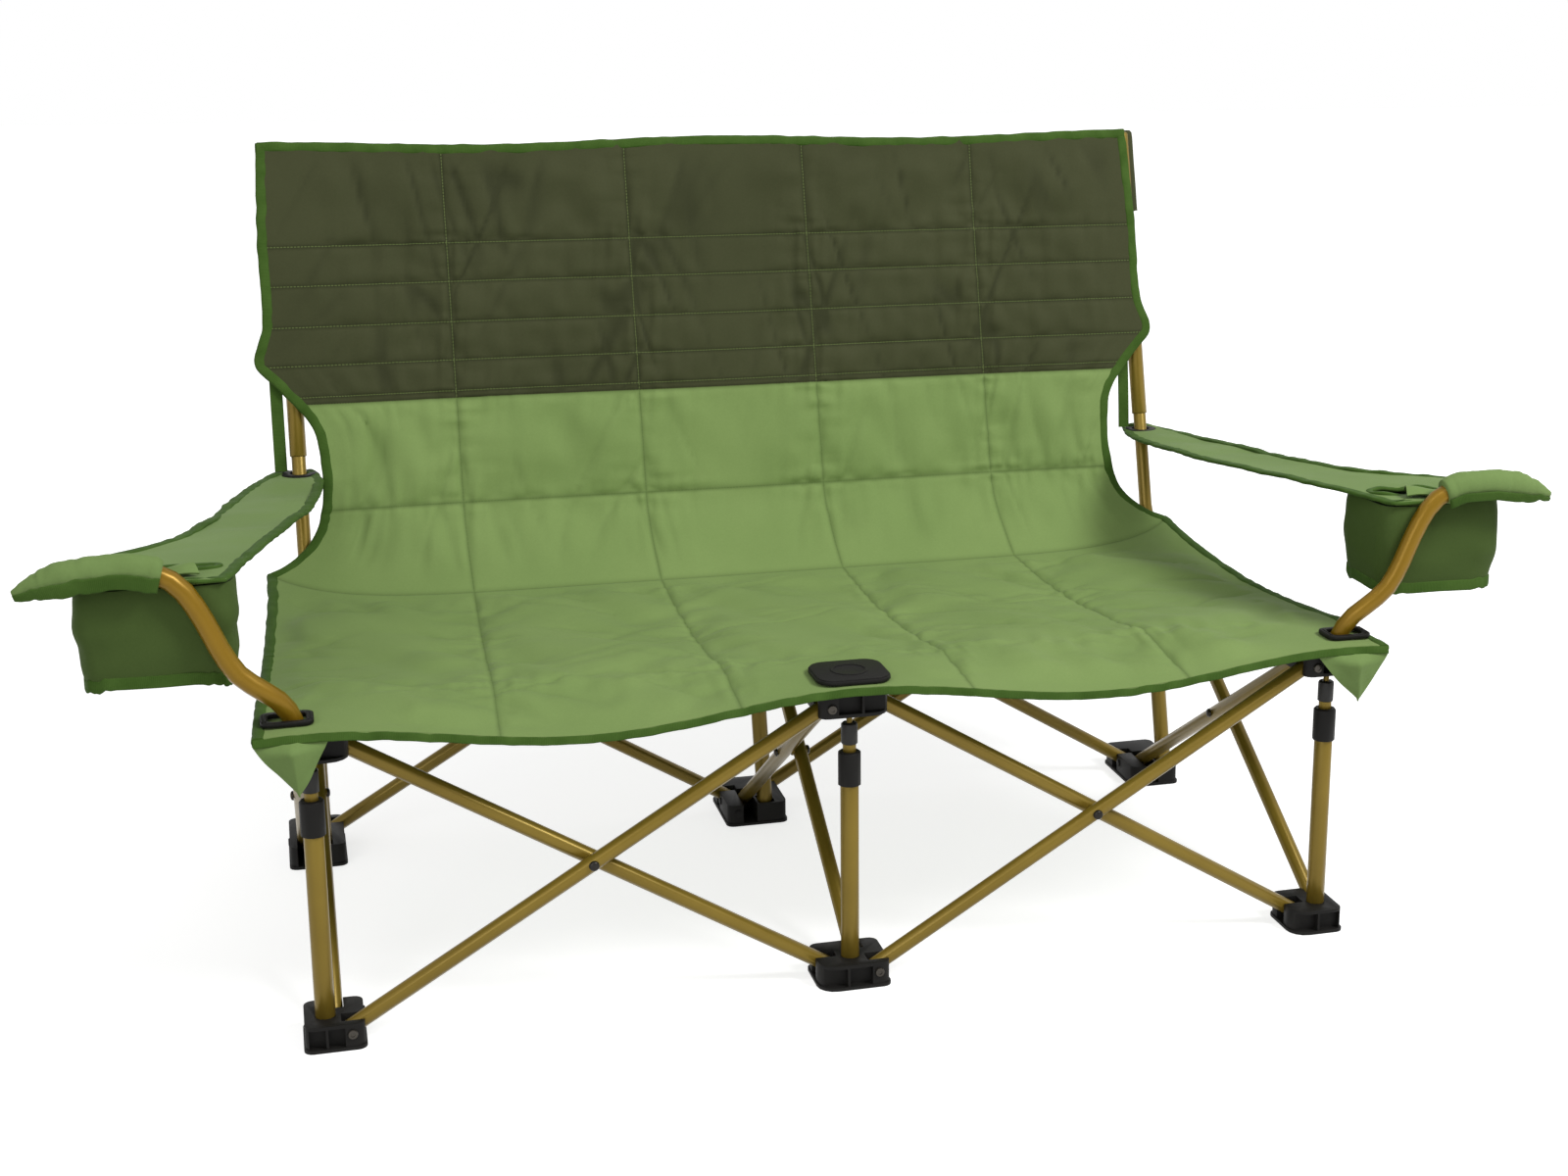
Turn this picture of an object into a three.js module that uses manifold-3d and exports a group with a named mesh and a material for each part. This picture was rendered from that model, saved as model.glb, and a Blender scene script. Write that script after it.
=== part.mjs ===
// A folding camping loveseat: six corner blocks on the ground, six more under the seat, scissor bars
// between them on seven sides, telescoping front posts, leaning rear posts, and a quilted sling seat
// with armrests. Millimetres, X to the right as seen from the front, Y to the rear, Z up.
import * as THREE from "three";
import { mergeVertices } from "three/addons/utils/BufferGeometryUtils.js";
import Module from "manifold-3d";

const wasm = await Module();
wasm.setup();

// Driving sizes of the frame
const columnPitch = 518; // between neighbouring columns, across and front to rear
const pinOffset = 24; // from a column's axis to the scissor pins beside it
const restAngle = THREE.MathUtils.degToRad(59); // of a scissor bar from vertical, seat open
const postLean = THREE.MathUtils.degToRad(15); // of a rear post from vertical, seat open
const barRadius = 8;
const barWall = 1.2;
const barSpacing = 9; // from the middle of a scissor to the axis of each of its bars
const postRadius = 9.5; // lower front posts, rear posts and arm tubes
const postWall = 1.2;
const rearPostTop = 800;
const rearPostAside = 12; // a rear post stands this far to the right of its column's axis
const rearPostSetback = 58; // and its pivot this far ahead of the rear scissor plane

// Facets and counts
const tubeSides = 12;
const barSides = 10;
const boreSides = 6;
const pinSides = 6;
const headSides = 8;
const pocketCount = 2;

// Fits
const seatGap = 0.3; // between faces that rest on each other
const looseFit = 0.65; // round a bent tube in its socket
const slotClearance = 0.4; // each side of a bar in its slot
const pinClearance = 0.6; // round a pin in a bar
const swingClearance = 1; // round an end that swings in a slot
const overrun = 2; // of a cut past the face that it opens

// Mouldings
const plateThickness = 3.4;
const blockHeight = 26;
const pinHeight = 16; // of the scissor pins above a foot's sole
const postPivotHeight = 14;
const cheekReach = 12; // of a block past the pins it carries
const plainReach = 20; // of a front block on a side without pins
const faceReach = 27; // of a front block to the front
const rearReach = 27; // of a rear block to the rear
const cornerRadius = 9;
const setBackRadius = 19; // where the slot lies far from the front wall
const soleRim = 1.5;
const pocketDepth = 8;
const pocketRib = 2.5;
const wallThickness = 3.5;
const screwRadius = 2.5;
const screwHeadRadius = 4.4;
const screwHeadHeight = 1.6;

// Bar ends and rivets
const barEndReach = 6.5; // past the pin
const barEndFlat = 3.3; // half the width of the squared end
const rivetRadius = 2.5;
const rivetHeadRadius = 4.6;
const rivetHeadHeight = 2;
const rivetWasherRadius = 5.5;

// Front posts
const collarBottom = 210;
const collarTop = 245;
const collarRadius = 11.75;
const tubeTop = 225;
const sliderRadius = 6.7;
const sliderWall = 1.2;
const sliderBottom = 60;
const smallCollarBottom = 253;
const smallCollarTop = 275;
const smallCollarRadius = 8.3;
const rodRadius = 3;
const rodBottom = 80;
const rodSeat = 12; // depth of the rod in the hub
const collarBevel = 1.5;

// Rear posts, along their own axis from the pivot
const swageStart = 325;
const swageLength = 14;
const neckRadius = 8;
const postEndReach = 8.5;
const postEndFlat = 3.5;
const sleeveStart = 455;
const sleeveOverlap = 70;
const guideTravel = 18; // fore-and-aft room for the post while the frame is half folded
const guideHeight = 13;
const guideWidthRoom = 0.75;
const pocketedPostBevel = 2;

// Arm tubes, from their sockets in the outer front hubs
const armAside = 10; // a socket's axis lies this far outside its column's
const armSocketDepth = 8.4;
const armReach = 224;
const armRise = 173;
const armForward = 15;
const armPathShares = [
  // outward, upward, forward
  [0, 0, 0],
  [0, 0.05, 0],
  [0.002, 0.09, 0.02],
  [0.018, 0.15, 0.2],
  [0.06, 0.235, 0.55],
  [0.125, 0.31, 0.87],
  [0.205, 0.4, 1],
  [0.265, 0.53, 1],
  [0.31, 0.665, 1],
  [0.355, 0.79, 1],
  [0.405, 0.89, 1],
  [0.475, 0.965, 1],
  [0.57, 0.997, 1],
  [0.71, 1, 1],
  [0.81, 0.987, 1],
  [0.9, 0.963, 1],
];
const armSteps = 20;
const sleeveFirst = 11; // of the path's points, where the armrest's sleeve begins
const sleeveWall = 2.7;
const sleeveTip = 31; // the sleeve runs this far past the tube's end, and tapers
const sleeveTipRadius = 5;

// Seat and back
const padHalf = 3.5; // half the cloth's thickness in the middle of a quilted cell
const seamHalf = 1.6; // and at a seam
const backPadHalf = 2.2;
const backSeamHalf = 1.2;
const clothRise = 2.5; // of the seat's underside over the middle of a hub
const clothJoint = 1.2; // between the edges of two cloths sewn together
const seatFrontEdge = 40; // ahead of the front columns
const seatCrease = 60; // behind the front columns, where the front strip begins
const frontSag = 24;
const slingSag = 15;
const seatRearDrop = 12;
const junctionSetback = 65; // the seam between seat and back, ahead of the rear scissor plane
const earReach = 66; // that seam runs this much further back at its ends, over the outer hubs
const earRise = 20; // and this much higher
const earPower = 9;
const hemDrop = 8; // of the seat's front hem, which turns down
const hemTurnShare = 0.3; // of its height, by which it leans forward
const seatFrontOverhang = 48; // of the cloth past the outer columns' axes
const seatRearOverhang = 12;
const cellColumnShares = [-1, -0.61, -0.205, 0.205, 0.61, 1];
const cellSteps = 3;
const backTopRise = 4; // of the back's top edge above the posts' ends
const backOverhang = 27;
const backTurn = 1.6; // the power by which the back turns up out of the seat
const backRowShares = [0, 0.173, 0.411, 0.498, 0.585, 0.677, 0.766, 1];
const backRowSteps = [3, 3, 2, 2, 2, 2, 2];
const backWidthShares = [
  // height above the seam with the seat, half width
  [0, 0.972],
  [0.035, 0.954],
  [0.095, 0.912],
  [0.173, 0.886],
  [0.286, 0.881],
  [0.361, 0.894],
  [0.411, 0.927],
  [0.458, 0.965],
  [0.5, 1],
  [0.585, 0.983],
  [0.766, 0.982],
  [1, 0.972],
];
const flapDrop = 56; // of the pockets that hang at the seat's front corners
const flapInside = 66; // of a pocket's inner end from the seat's corner
const flapThickness = 2.6;
const sleevePocketDepth = 100; // of the back's pockets over the posts
const sleevePocketHalf = 13.5;
const sleevePocketRear = 13;
const pocketCap = 3;
const strapWidth = 20;
const strapThickness = 1.6;
const strapAside = 22; // from a rear post's axis
const strapTop = 545;
const strapLap = 30; // sewn to the back of the panel
const strapSlack = 6; // behind the post's axis, where the strap meets the armrest

// Fittings in the cloth
const plateWidth = 75;
const plateDepth = 68;
const plateHeight = 5;
const plateCorner = 18;
const plateBevel = 1.5;
const plateBoss = 7;
const plateRingRadius = 19;
const plateRingWidth = 3;
const plateRingHeight = 1;
const grommetInside = 17; // past the arm tube's axis, towards the seat
const grommetOutside = 31;
const grommetFront = 20;
const grommetRear = 16;
const grommetRim = 6.5;
const grommetHeight = 4;
const grommetCorner = 9;

// Armrests, in sizes measured from the arm tube's socket
const armrestRear = 596; // behind the front columns
const armrestOuter = 186; // outside the column, at the cup pouch
const armrestHalf = 2;
const armrestDrop = 16; // of the armrest's front below the top of the arm tube's axis
const armrestRingHeight = 433;
const armrestRowShares = [
  // along, inner edge, outer edge, fall from the front to the ring; the first row lies on the sleeve
  [0, 0.66, 1.02, 0],
  [0.022, 0.3, 1.04, 0],
  [0.09, 0.28, 1.04, 0.02],
  [0.18, 0.2, 1.02, 0.08],
  [0.22, 0.16, 0.86, 0.12],
  [0.27, 0.12, 0.6, 0.18],
  [0.48, -0.03, 0.46, 0.45],
  [0.62, -0.1, 0.41, 0.63],
  [0.8, -0.14, 0.32, 0.88],
  [0.92, -0.135, 0.23, 1],
  [1, -0.08, 0.12, 1],
];
const sleeveSeamAngle = THREE.MathUtils.degToRad(40); // below the middle of the sleeve's rear
const armrestSteps = 3;
const ringRoom = 1.7; // round a rear post, for its lean through the ring
const ringWidth = 8;
const ringThickness = 5;
const pouchOuter = 194;
const pouchWidth = 138;
const pouchFront = 5; // ahead of the front columns
const pouchRear = 98;
const pouchCorner = 20;
const pouchFloor = 366;
const pouchWall = 2.5;
const pouchTaper = 5;
const pouchLip = 12;
const pouchDrop = 2.4; // from the armrest's front to the pouch's rim

const frameColour = 0x87692f;
const armColour = 0xa8772a;
const plasticColour = 0x282624;
const sageColour = 0x8fa070;
const darkPanelColour = 0x48482f;

const metal = (color) => new THREE.MeshStandardMaterial({ color, roughness: 0.35, metalness: 0.9 });
const plastic = (color) => new THREE.MeshStandardMaterial({ color, roughness: 0.6, metalness: 0 });
const cloth = (color) => new THREE.MeshStandardMaterial({ color, roughness: 0.9, metalness: 0 });
const bronze = metal(frameColour);
const gold = metal(armColour);
const black = plastic(plasticColour);
const sage = cloth(sageColour);
const darkPanel = cloth(darkPanelColour);

const sides = ["left", "centre", "right"];
const armSides = ["left", "right"];
const outward = { left: -1, centre: 0, right: 1 };
const columns = { left: -columnPitch, centre: 0, right: columnPitch };
const opposite = { left: "right", centre: "centre", right: "left" };

// Worked-out sizes of the scissors
const pinSpan = columnPitch - 2 * pinOffset;
const barLength = pinSpan / Math.sin(restAngle);
const hubRise = pinSpan / Math.tan(restAngle);
const hubPinHeight = pinHeight + hubRise;
const hubTop = hubPinHeight + pinHeight;
const hubBottom = hubTop - blockHeight;
const slotHalf = barRadius + slotClearance;
const slotInner = pinOffset - Math.hypot(barEndReach, barRadius) + swingClearance / 2;
const rearPivotY = columnPitch - rearPostSetback;
const seatMiddle = hubTop + clothRise + padHalf;
const seatFrontHalf = columnPitch + seatFrontOverhang;
const seatRearHalf = columnPitch + seatRearOverhang;
const backWidest = columnPitch + backOverhang;
const backTop = rearPostTop + backTopRise;
const foldLine = columnPitch / 2;
const junctionY = columnPitch - junctionSetback;
const junctionHeight = seatMiddle - seatRearDrop;

// Solids
function solidOf(geometry) {
  const bare = geometry.clone();
  bare.deleteAttribute("normal");
  bare.deleteAttribute("uv");
  const merged = mergeVertices(bare);
  return new wasm.Manifold(
    new wasm.Mesh({
      numProp: 3,
      vertProperties: merged.attributes.position.array,
      triVerts: new Uint32Array(merged.index.array),
    }),
  );
}

function geometryOf(solid) {
  const { vertProperties, triVerts } = solid.getMesh();
  const geometry = new THREE.BufferGeometry();
  geometry.setAttribute("position", new THREE.BufferAttribute(vertProperties, 3));
  geometry.setIndex(new THREE.BufferAttribute(triVerts, 1));
  geometry.computeVertexNormals();
  return geometry;
}

const join = (solids) => solids.reduce((whole, next) => whole.add(next));
const cut = (solid, cutters) => (cutters.length ? solid.subtract(join(cutters)) : solid);

function boxBetween([x0, x1], [y0, y1], [z0, z1]) {
  const box = new THREE.BoxGeometry(x1 - x0, y1 - y0, z1 - z0);
  return solidOf(box.translate((x0 + x1) / 2, (y0 + y1) / 2, (z0 + z1) / 2));
}

function rodBetween(from, to, radius, sides, tipRadius = radius) {
  const axis = new THREE.Vector3().subVectors(to, from);
  const rod = new THREE.CylinderGeometry(tipRadius, radius, axis.length(), sides);
  const turn = new THREE.Quaternion().setFromUnitVectors(
    new THREE.Vector3(0, 1, 0),
    axis.clone().normalize(),
  );
  const middle = new THREE.Vector3().addVectors(from, to).multiplyScalar(0.5);
  return solidOf(rod.applyQuaternion(turn).translate(middle.x, middle.y, middle.z));
}

function revolved(profile, sides = tubeSides) {
  const points = profile.map(([radius, height]) => new THREE.Vector2(radius, height));
  return solidOf(new THREE.LatheGeometry(points, sides).rotateX(Math.PI / 2));
}

// A round bar, or the cutter of a round hole, standing on the Z axis
function roundBar(radius, bottom, top, sides = tubeSides) {
  return revolved(
    [
      [0, bottom],
      [radius, bottom],
      [radius, top],
      [0, top],
    ],
    sides,
  );
}

function tubeAlong(outer, inner, bottom, top, sides) {
  return revolved(
    [
      [inner, bottom],
      [outer, bottom],
      [outer, top],
      [inner, top],
      [inner, bottom],
    ],
    sides,
  );
}

function prism(shape, bottom, top, curveSegments = 2) {
  const options = { depth: top - bottom, bevelEnabled: false, curveSegments };
  return solidOf(new THREE.ExtrudeGeometry(shape, options).translate(0, 0, bottom));
}

// The outline of a moulding, with its corner radii front left, front right, rear right, rear left
function roundedOutline([x0, x1], [y0, y1], [frontLeft, frontRight, rearRight, rearLeft]) {
  const quarter = Math.PI / 2;
  const shape = new THREE.Shape();
  shape.moveTo(x0 + frontLeft, y0);
  shape.lineTo(x1 - frontRight, y0);
  shape.absarc(x1 - frontRight, y0 + frontRight, frontRight, -quarter, 0);
  shape.lineTo(x1, y1 - rearRight);
  shape.absarc(x1 - rearRight, y1 - rearRight, rearRight, 0, quarter);
  shape.lineTo(x0 + rearLeft, y1);
  shape.absarc(x0 + rearLeft, y1 - rearLeft, rearLeft, quarter, 2 * quarter);
  shape.lineTo(x0, y0 + frontLeft);
  shape.absarc(x0 + frontLeft, y0 + frontLeft, frontLeft, 2 * quarter, 3 * quarter);
  return shape;
}

const grown = ([low, high], by) => [low - by, high + by];

const loveseat = new THREE.Group();

function piece(name, solid, material, place = () => {}) {
  const mesh = new THREE.Mesh(geometryOf(solid), material);
  mesh.name = name;
  place(mesh);
  loveseat.add(mesh);
  return mesh;
}

// A corner moulding, sole down. Each slot takes one scissor bar: along is the way the bar leaves the
// column, side is +1 or -1 on that axis, and line is the sign of the bar's offset on the other axis.
function cornerBlock({ slots, depth, seats = [], cuts = [], extras = [] }) {
  const has = (along, side) => slots.some((slot) => slot.along === along && slot.side === side);
  const reach = (side) => (has("x", side) ? pinOffset + cheekReach : depth.plain);
  const width = [-reach(-1), reach(1)];
  const frontCorner = (side) => {
    const slot = slots.find((one) => one.along === "x" && one.side === side);
    return slot && slot.line > 0 && depth.facesFront ? setBackRadius : cornerRadius;
  };
  const corners = [frontCorner(-1), frontCorner(1), cornerRadius, cornerRadius];
  const span = [-depth.front, depth.rear];
  const sole = prism(
    roundedOutline(grown(width, soleRim), grown(span, soleRim), corners),
    0,
    plateThickness,
  );
  const body = prism(roundedOutline(width, span, corners), plateThickness / 2, blockHeight);
  const cored = cut(join([sole, body]), pocketsOf(width, span, slots, depth));
  const open = [...cuts, ...slots.map((slot) => slotCut(slot, width, span))];
  const screws = slots.map((slot) => screwOf(slot, width, span));
  return join([cut(join([cored, ...extras]), open), ...screws, ...seats]);
}

// The room of one bar, open above and outward
function slotCut({ along, side, line }, width, span) {
  const across = [line * barSpacing - slotHalf, line * barSpacing + slotHalf];
  const [low, high] = along === "x" ? width : span;
  const outward = side > 0 ? [slotInner, high + soleRim + overrun] : [low - soleRim - overrun, -slotInner];
  const heights = [plateThickness, blockHeight + overrun];
  return along === "x" ? boxBetween(outward, across, heights) : boxBetween(across, outward, heights);
}

// The screw through one bar: a shank across the slot and a pan head on the nearer face
function screwOf({ along, side, line }, width, span) {
  const [low, high] = along === "x" ? span : width;
  const face = line > 0 ? high : low;
  const across = line * (barSpacing - slotHalf) - line * overrun;
  const place = (offset) => {
    const out = side * pinOffset;
    const [x, y] = along === "x" ? [out, offset] : [offset, out];
    return new THREE.Vector3(x, y, pinHeight);
  };
  const shank = rodBetween(place(across), place(face - line * overrun / 2), screwRadius, pinSides);
  const outer = place(face + line * screwHeadHeight);
  const head = rodBetween(place(face - line * overrun), outer, screwHeadRadius, headSides);
  return shank.add(head);
}

// Cored-out windows in the closed walls, with a rib between each pair
function pocketsOf([x0, x1], [y0, y1], slots, depth) {
  const heights = [plateThickness, blockHeight - plateThickness];
  const face = depth.facesFront ? -1 : 1;
  const screwed = (side) =>
    slots.some((slot) => slot.along === "x" && slot.side === side && slot.line === face);
  const screwLobe = pinOffset - screwHeadRadius - pocketRib;
  const from = screwed(-1) ? -screwLobe : x0 + wallThickness;
  const to = screwed(1) ? screwLobe : x1 - wallThickness;
  const step = (to - from + pocketRib) / pocketCount;
  const windows = [];
  for (let i = 0; i < pocketCount; i += 1) {
    const left = from + i * step;
    const right = left + step - pocketRib;
    if (depth.facesFront) {
      windows.push(boxBetween([left, right], [y0 - overrun, y0 + pocketDepth], heights));
    } else {
      windows.push(boxBetween([left, right], [y1 - pocketDepth, y1 + overrun], heights));
    }
  }
  return windows;
}

// A scissor bar standing on its lower pin, with the pins along Y. The one that carries the rivet has
// its partner on the +Y side.
function scissorBar(carriesRivet) {
  const partner = 2 * barSpacing;
  const bottom = -barEndReach - overrun;
  const top = barLength + barEndReach + overrun;
  const tube = roundBar(barRadius, bottom, top, barSides).subtract(
    roundBar(barRadius - barWall, bottom - overrun, top + overrun, boreSides),
  );
  const slope = barRadius - barEndFlat;
  const outline = new THREE.Shape([
    new THREE.Vector2(-barEndFlat, -barEndReach),
    new THREE.Vector2(barEndFlat, -barEndReach),
    new THREE.Vector2(barRadius + overrun, -barEndReach + slope + overrun),
    new THREE.Vector2(barRadius + overrun, barLength + barEndReach - slope - overrun),
    new THREE.Vector2(barEndFlat, barLength + barEndReach),
    new THREE.Vector2(-barEndFlat, barLength + barEndReach),
    new THREE.Vector2(-barRadius - overrun, barLength + barEndReach - slope - overrun),
    new THREE.Vector2(-barRadius - overrun, -barEndReach + slope + overrun),
  ]);
  const width = 2 * (barRadius + overrun);
  const ends = new THREE.ExtrudeGeometry(outline, { depth: width, bevelEnabled: false })
    .translate(0, 0, -width / 2)
    .rotateX(Math.PI / 2);
  const across = (height, radius) =>
    rodBetween(
      new THREE.Vector3(0, -barRadius - overrun, height),
      new THREE.Vector3(0, barRadius + overrun, height),
      radius,
      pinSides,
    );
  const holes = [0, barLength].map((height) => across(height, screwRadius + pinClearance));
  const trimmed = tube.intersect(solidOf(ends));
  const middle = barLength / 2;
  if (!carriesRivet) {
    return cut(trimmed, [...holes, across(middle, rivetRadius + pinClearance)]);
  }
  const at = (offset) => new THREE.Vector3(0, offset, middle);
  const far = partner + barRadius + seatGap;
  const rivet = join([
    rodBetween(at(-barRadius), at(far + rivetHeadHeight / 2), rivetRadius, pinSides),
    rodBetween(at(-barRadius - rivetHeadHeight / 2), at(-barRadius + barWall), rivetHeadRadius, headSides),
    rodBetween(at(far), at(far + rivetHeadHeight), rivetHeadRadius, headSides),
    rodBetween(at(barRadius - barWall), at(partner - barRadius - seatGap), rivetWasherRadius, headSides),
  ]);
  return cut(trimmed, holes).add(rivet);
}

// Blocks by their column, with slots as seen sole down
const slot = (along, side, line) => ({ along, side, line });
const frontDepth = {
  front: faceReach,
  rear: pinOffset + cheekReach,
  plain: plainReach,
  facesFront: true,
};
const rearPlainReach = rearPostAside + postRadius + guideWidthRoom + wallThickness;
const rearFootDepth = {
  front: rearPostSetback + postRadius + swingClearance + wallThickness,
  rear: rearReach,
  plain: rearPlainReach,
  facesFront: false,
};
const rearHubDepth = {
  front: pinOffset + cheekReach,
  rear: rearReach,
  plain: rearPlainReach,
  facesFront: false,
};
const frontSlots = {
  left: [slot("x", 1, -1), slot("y", 1, 1)],
  centre: [slot("x", -1, 1), slot("x", 1, -1), slot("y", 1, 1)],
  right: [slot("x", -1, 1), slot("y", 1, 1)],
};
const rearSlots = {
  left: [slot("x", 1, 1), slot("y", -1, -1)],
  centre: [slot("x", -1, -1), slot("x", 1, 1), slot("y", -1, -1)],
  right: [slot("x", -1, -1), slot("y", -1, -1)],
};

// The pivot slot of a rear post, its pin along X
function rearPostPivot() {
  const half = postRadius + slotClearance;
  const topLean = (blockHeight - postPivotHeight) * Math.tan(postLean);
  const behind = topLean + postRadius / Math.cos(postLean) + swingClearance - rearPostSetback;
  const room = boxBetween(
    [rearPostAside - half, rearPostAside + half],
    [-rearPostSetback - postRadius - swingClearance, behind],
    [plateThickness, blockHeight + overrun],
  );
  const at = (x) => new THREE.Vector3(x, -rearPostSetback, postPivotHeight);
  const left = rearPostAside - half - overrun;
  const right = rearPlainReach + overrun;
  const pin = rodBetween(at(left), at(right), screwRadius, pinSides);
  return { room, pin };
}

for (const side of sides) {
  const socket = roundBar(postRadius + seatGap, plateThickness, blockHeight + overrun);
  const foot = cornerBlock({ slots: frontSlots[side], depth: frontDepth, cuts: [socket] });
  piece(`front_${side}_foot`, foot, black, (mesh) => mesh.position.set(columns[side], 0, 0));
}

for (const side of sides) {
  const { room, pin } = rearPostPivot();
  const foot = cornerBlock({
    slots: rearSlots[side],
    depth: rearFootDepth,
    cuts: [room],
    seats: [pin],
  });
  piece(`rear_${side}_foot`, foot, black, (mesh) =>
    mesh.position.set(columns[side], columnPitch, 0),
  );
}

// A hub is the moulding of the opposite column turned over
const turnOver = (side, y) => (mesh) => {
  mesh.position.set(columns[side], y, hubTop);
  mesh.rotation.y = Math.PI;
};

for (const side of sides) {
  const rodTop = blockHeight - rodSeat;
  const holes = [roundBar(rodRadius + seatGap, rodTop, blockHeight + overrun, barSides)];
  if (outward[side]) {
    const socket = roundBar(postRadius + looseFit, -overrun, armSocketDepth + seatGap);
    holes.push(socket.translate([-outward[side] * armAside, 0, 0]));
  }
  const hub = cornerBlock({ slots: frontSlots[opposite[side]], depth: frontDepth, cuts: holes });
  piece(`front_${side}_hub`, hub, black, turnOver(side, 0));
}

// The rear hub's guide: a slot behind the block in which the leaning post slides
function postGuide() {
  const halfWidth = postRadius + guideWidthRoom;
  const pinLean = (hubPinHeight - postPivotHeight) * Math.tan(postLean) - rearPostSetback;
  const thickness = postRadius / Math.cos(postLean);
  const front = pinLean - thickness - (blockHeight - pinHeight) * Math.tan(postLean) - seatGap;
  const rear = pinLean + guideTravel + thickness + (guideHeight / 2) * Math.tan(postLean) + seatGap;
  const x = -rearPostAside; // seen sole down, turned over
  const heights = [pinHeight - guideHeight / 2, pinHeight + guideHeight / 2];
  const outer = roundedOutline(
    [x - halfWidth - wallThickness, x + halfWidth + wallThickness],
    [0, rear + wallThickness],
    [0, 0, cornerRadius, cornerRadius],
  );
  const inner = roundedOutline(
    [x - halfWidth, x + halfWidth],
    [front, rear],
    [cornerRadius / 2, cornerRadius / 2, cornerRadius / 2, cornerRadius / 2],
  );
  return {
    lug: prism(outer, ...heights),
    room: prism(inner, -overrun, blockHeight + overrun, 1),
  };
}

for (const side of sides) {
  const { lug, room } = postGuide();
  const hub = cornerBlock({
    slots: rearSlots[opposite[side]],
    depth: rearHubDepth,
    extras: [lug],
    cuts: [room],
  });
  piece(`rear_${side}_hub`, hub, black, turnOver(side, columnPitch));
}

// Scissors across: one bay to the left and one to the right, front and rear
const bays = { left: ["left", "centre"], right: ["centre", "right"] };
for (const [bay, [from, to]] of Object.entries(bays)) {
  const leftPin = columns[from] + pinOffset;
  const rightPin = columns[to] - pinOffset;
  const stand = (x, y, lean) => (mesh) => {
    mesh.position.set(x, y, pinHeight);
    mesh.rotation.y = lean;
  };
  piece(`front_${bay}_rising_bar`, scissorBar(true), bronze, stand(leftPin, -barSpacing, restAngle));
  piece(`front_${bay}_falling_bar`, scissorBar(false), bronze, stand(rightPin, barSpacing, -restAngle));
  const rear = columnPitch;
  piece(`rear_${bay}_rising_bar`, scissorBar(false), bronze, stand(leftPin, rear + barSpacing, restAngle));
  piece(`rear_${bay}_falling_bar`, scissorBar(true), bronze, stand(rightPin, rear - barSpacing, -restAngle));
}

// Scissors front to rear, one at each column
for (const side of sides) {
  const stand = (x, y, lean) => (mesh) => {
    mesh.position.set(x, y, pinHeight);
    mesh.rotation.set(lean, 0, Math.PI / 2);
  };
  const right = columns[side] + barSpacing;
  const left = columns[side] - barSpacing;
  const rear = columnPitch - pinOffset;
  piece(`${side}_side_rising_bar`, scissorBar(true), bronze, stand(right, pinOffset, -restAngle));
  piece(`${side}_side_falling_bar`, scissorBar(false), bronze, stand(left, rear, restAngle));
}

// Front posts: a tube in the foot, a collar on it, a slider in it and a rod that hangs from the hub
function bigCollar() {
  return revolved([
    [postRadius + seatGap, collarBottom],
    [collarRadius, collarBottom],
    [collarRadius, collarTop - collarBevel],
    [collarRadius - collarBevel, collarTop],
    [sliderRadius + seatGap, collarTop],
    [sliderRadius + seatGap, tubeTop + seatGap],
    [postRadius + seatGap, tubeTop + seatGap],
    [postRadius + seatGap, collarBottom],
  ]);
}

function slider() {
  return revolved(
    [
      [sliderRadius - sliderWall, sliderBottom],
      [sliderRadius, sliderBottom],
      [sliderRadius, smallCollarBottom],
      [smallCollarRadius, smallCollarBottom],
      [smallCollarRadius, smallCollarTop - collarBevel],
      [smallCollarRadius - collarBevel, smallCollarTop],
      [rodRadius + seatGap, smallCollarTop],
      [rodRadius + seatGap, smallCollarBottom],
      [sliderRadius - sliderWall, smallCollarBottom],
      [sliderRadius - sliderWall, sliderBottom],
    ],
    barSides,
  );
}

for (const side of sides) {
  const stand = (mesh) => mesh.position.set(columns[side], 0, 0);
  const bottom = plateThickness + seatGap;
  const rodTop = hubBottom + rodSeat - seatGap;
  const tube = tubeAlong(postRadius, postRadius - postWall, bottom, tubeTop);
  piece(`front_${side}_post_tube`, tube, bronze, stand);
  piece(`front_${side}_post_collar`, bigCollar(), black, stand);
  piece(`front_${side}_post_slider`, slider(), bronze, stand);
  piece(`front_${side}_post_rod`, roundBar(rodRadius, rodBottom, rodTop, barSides), bronze, stand);
}

// Rear posts, standing on their pivots and leaning back
const rearPostLength = (rearPostTop - postPivotHeight) / Math.cos(postLean);

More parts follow.
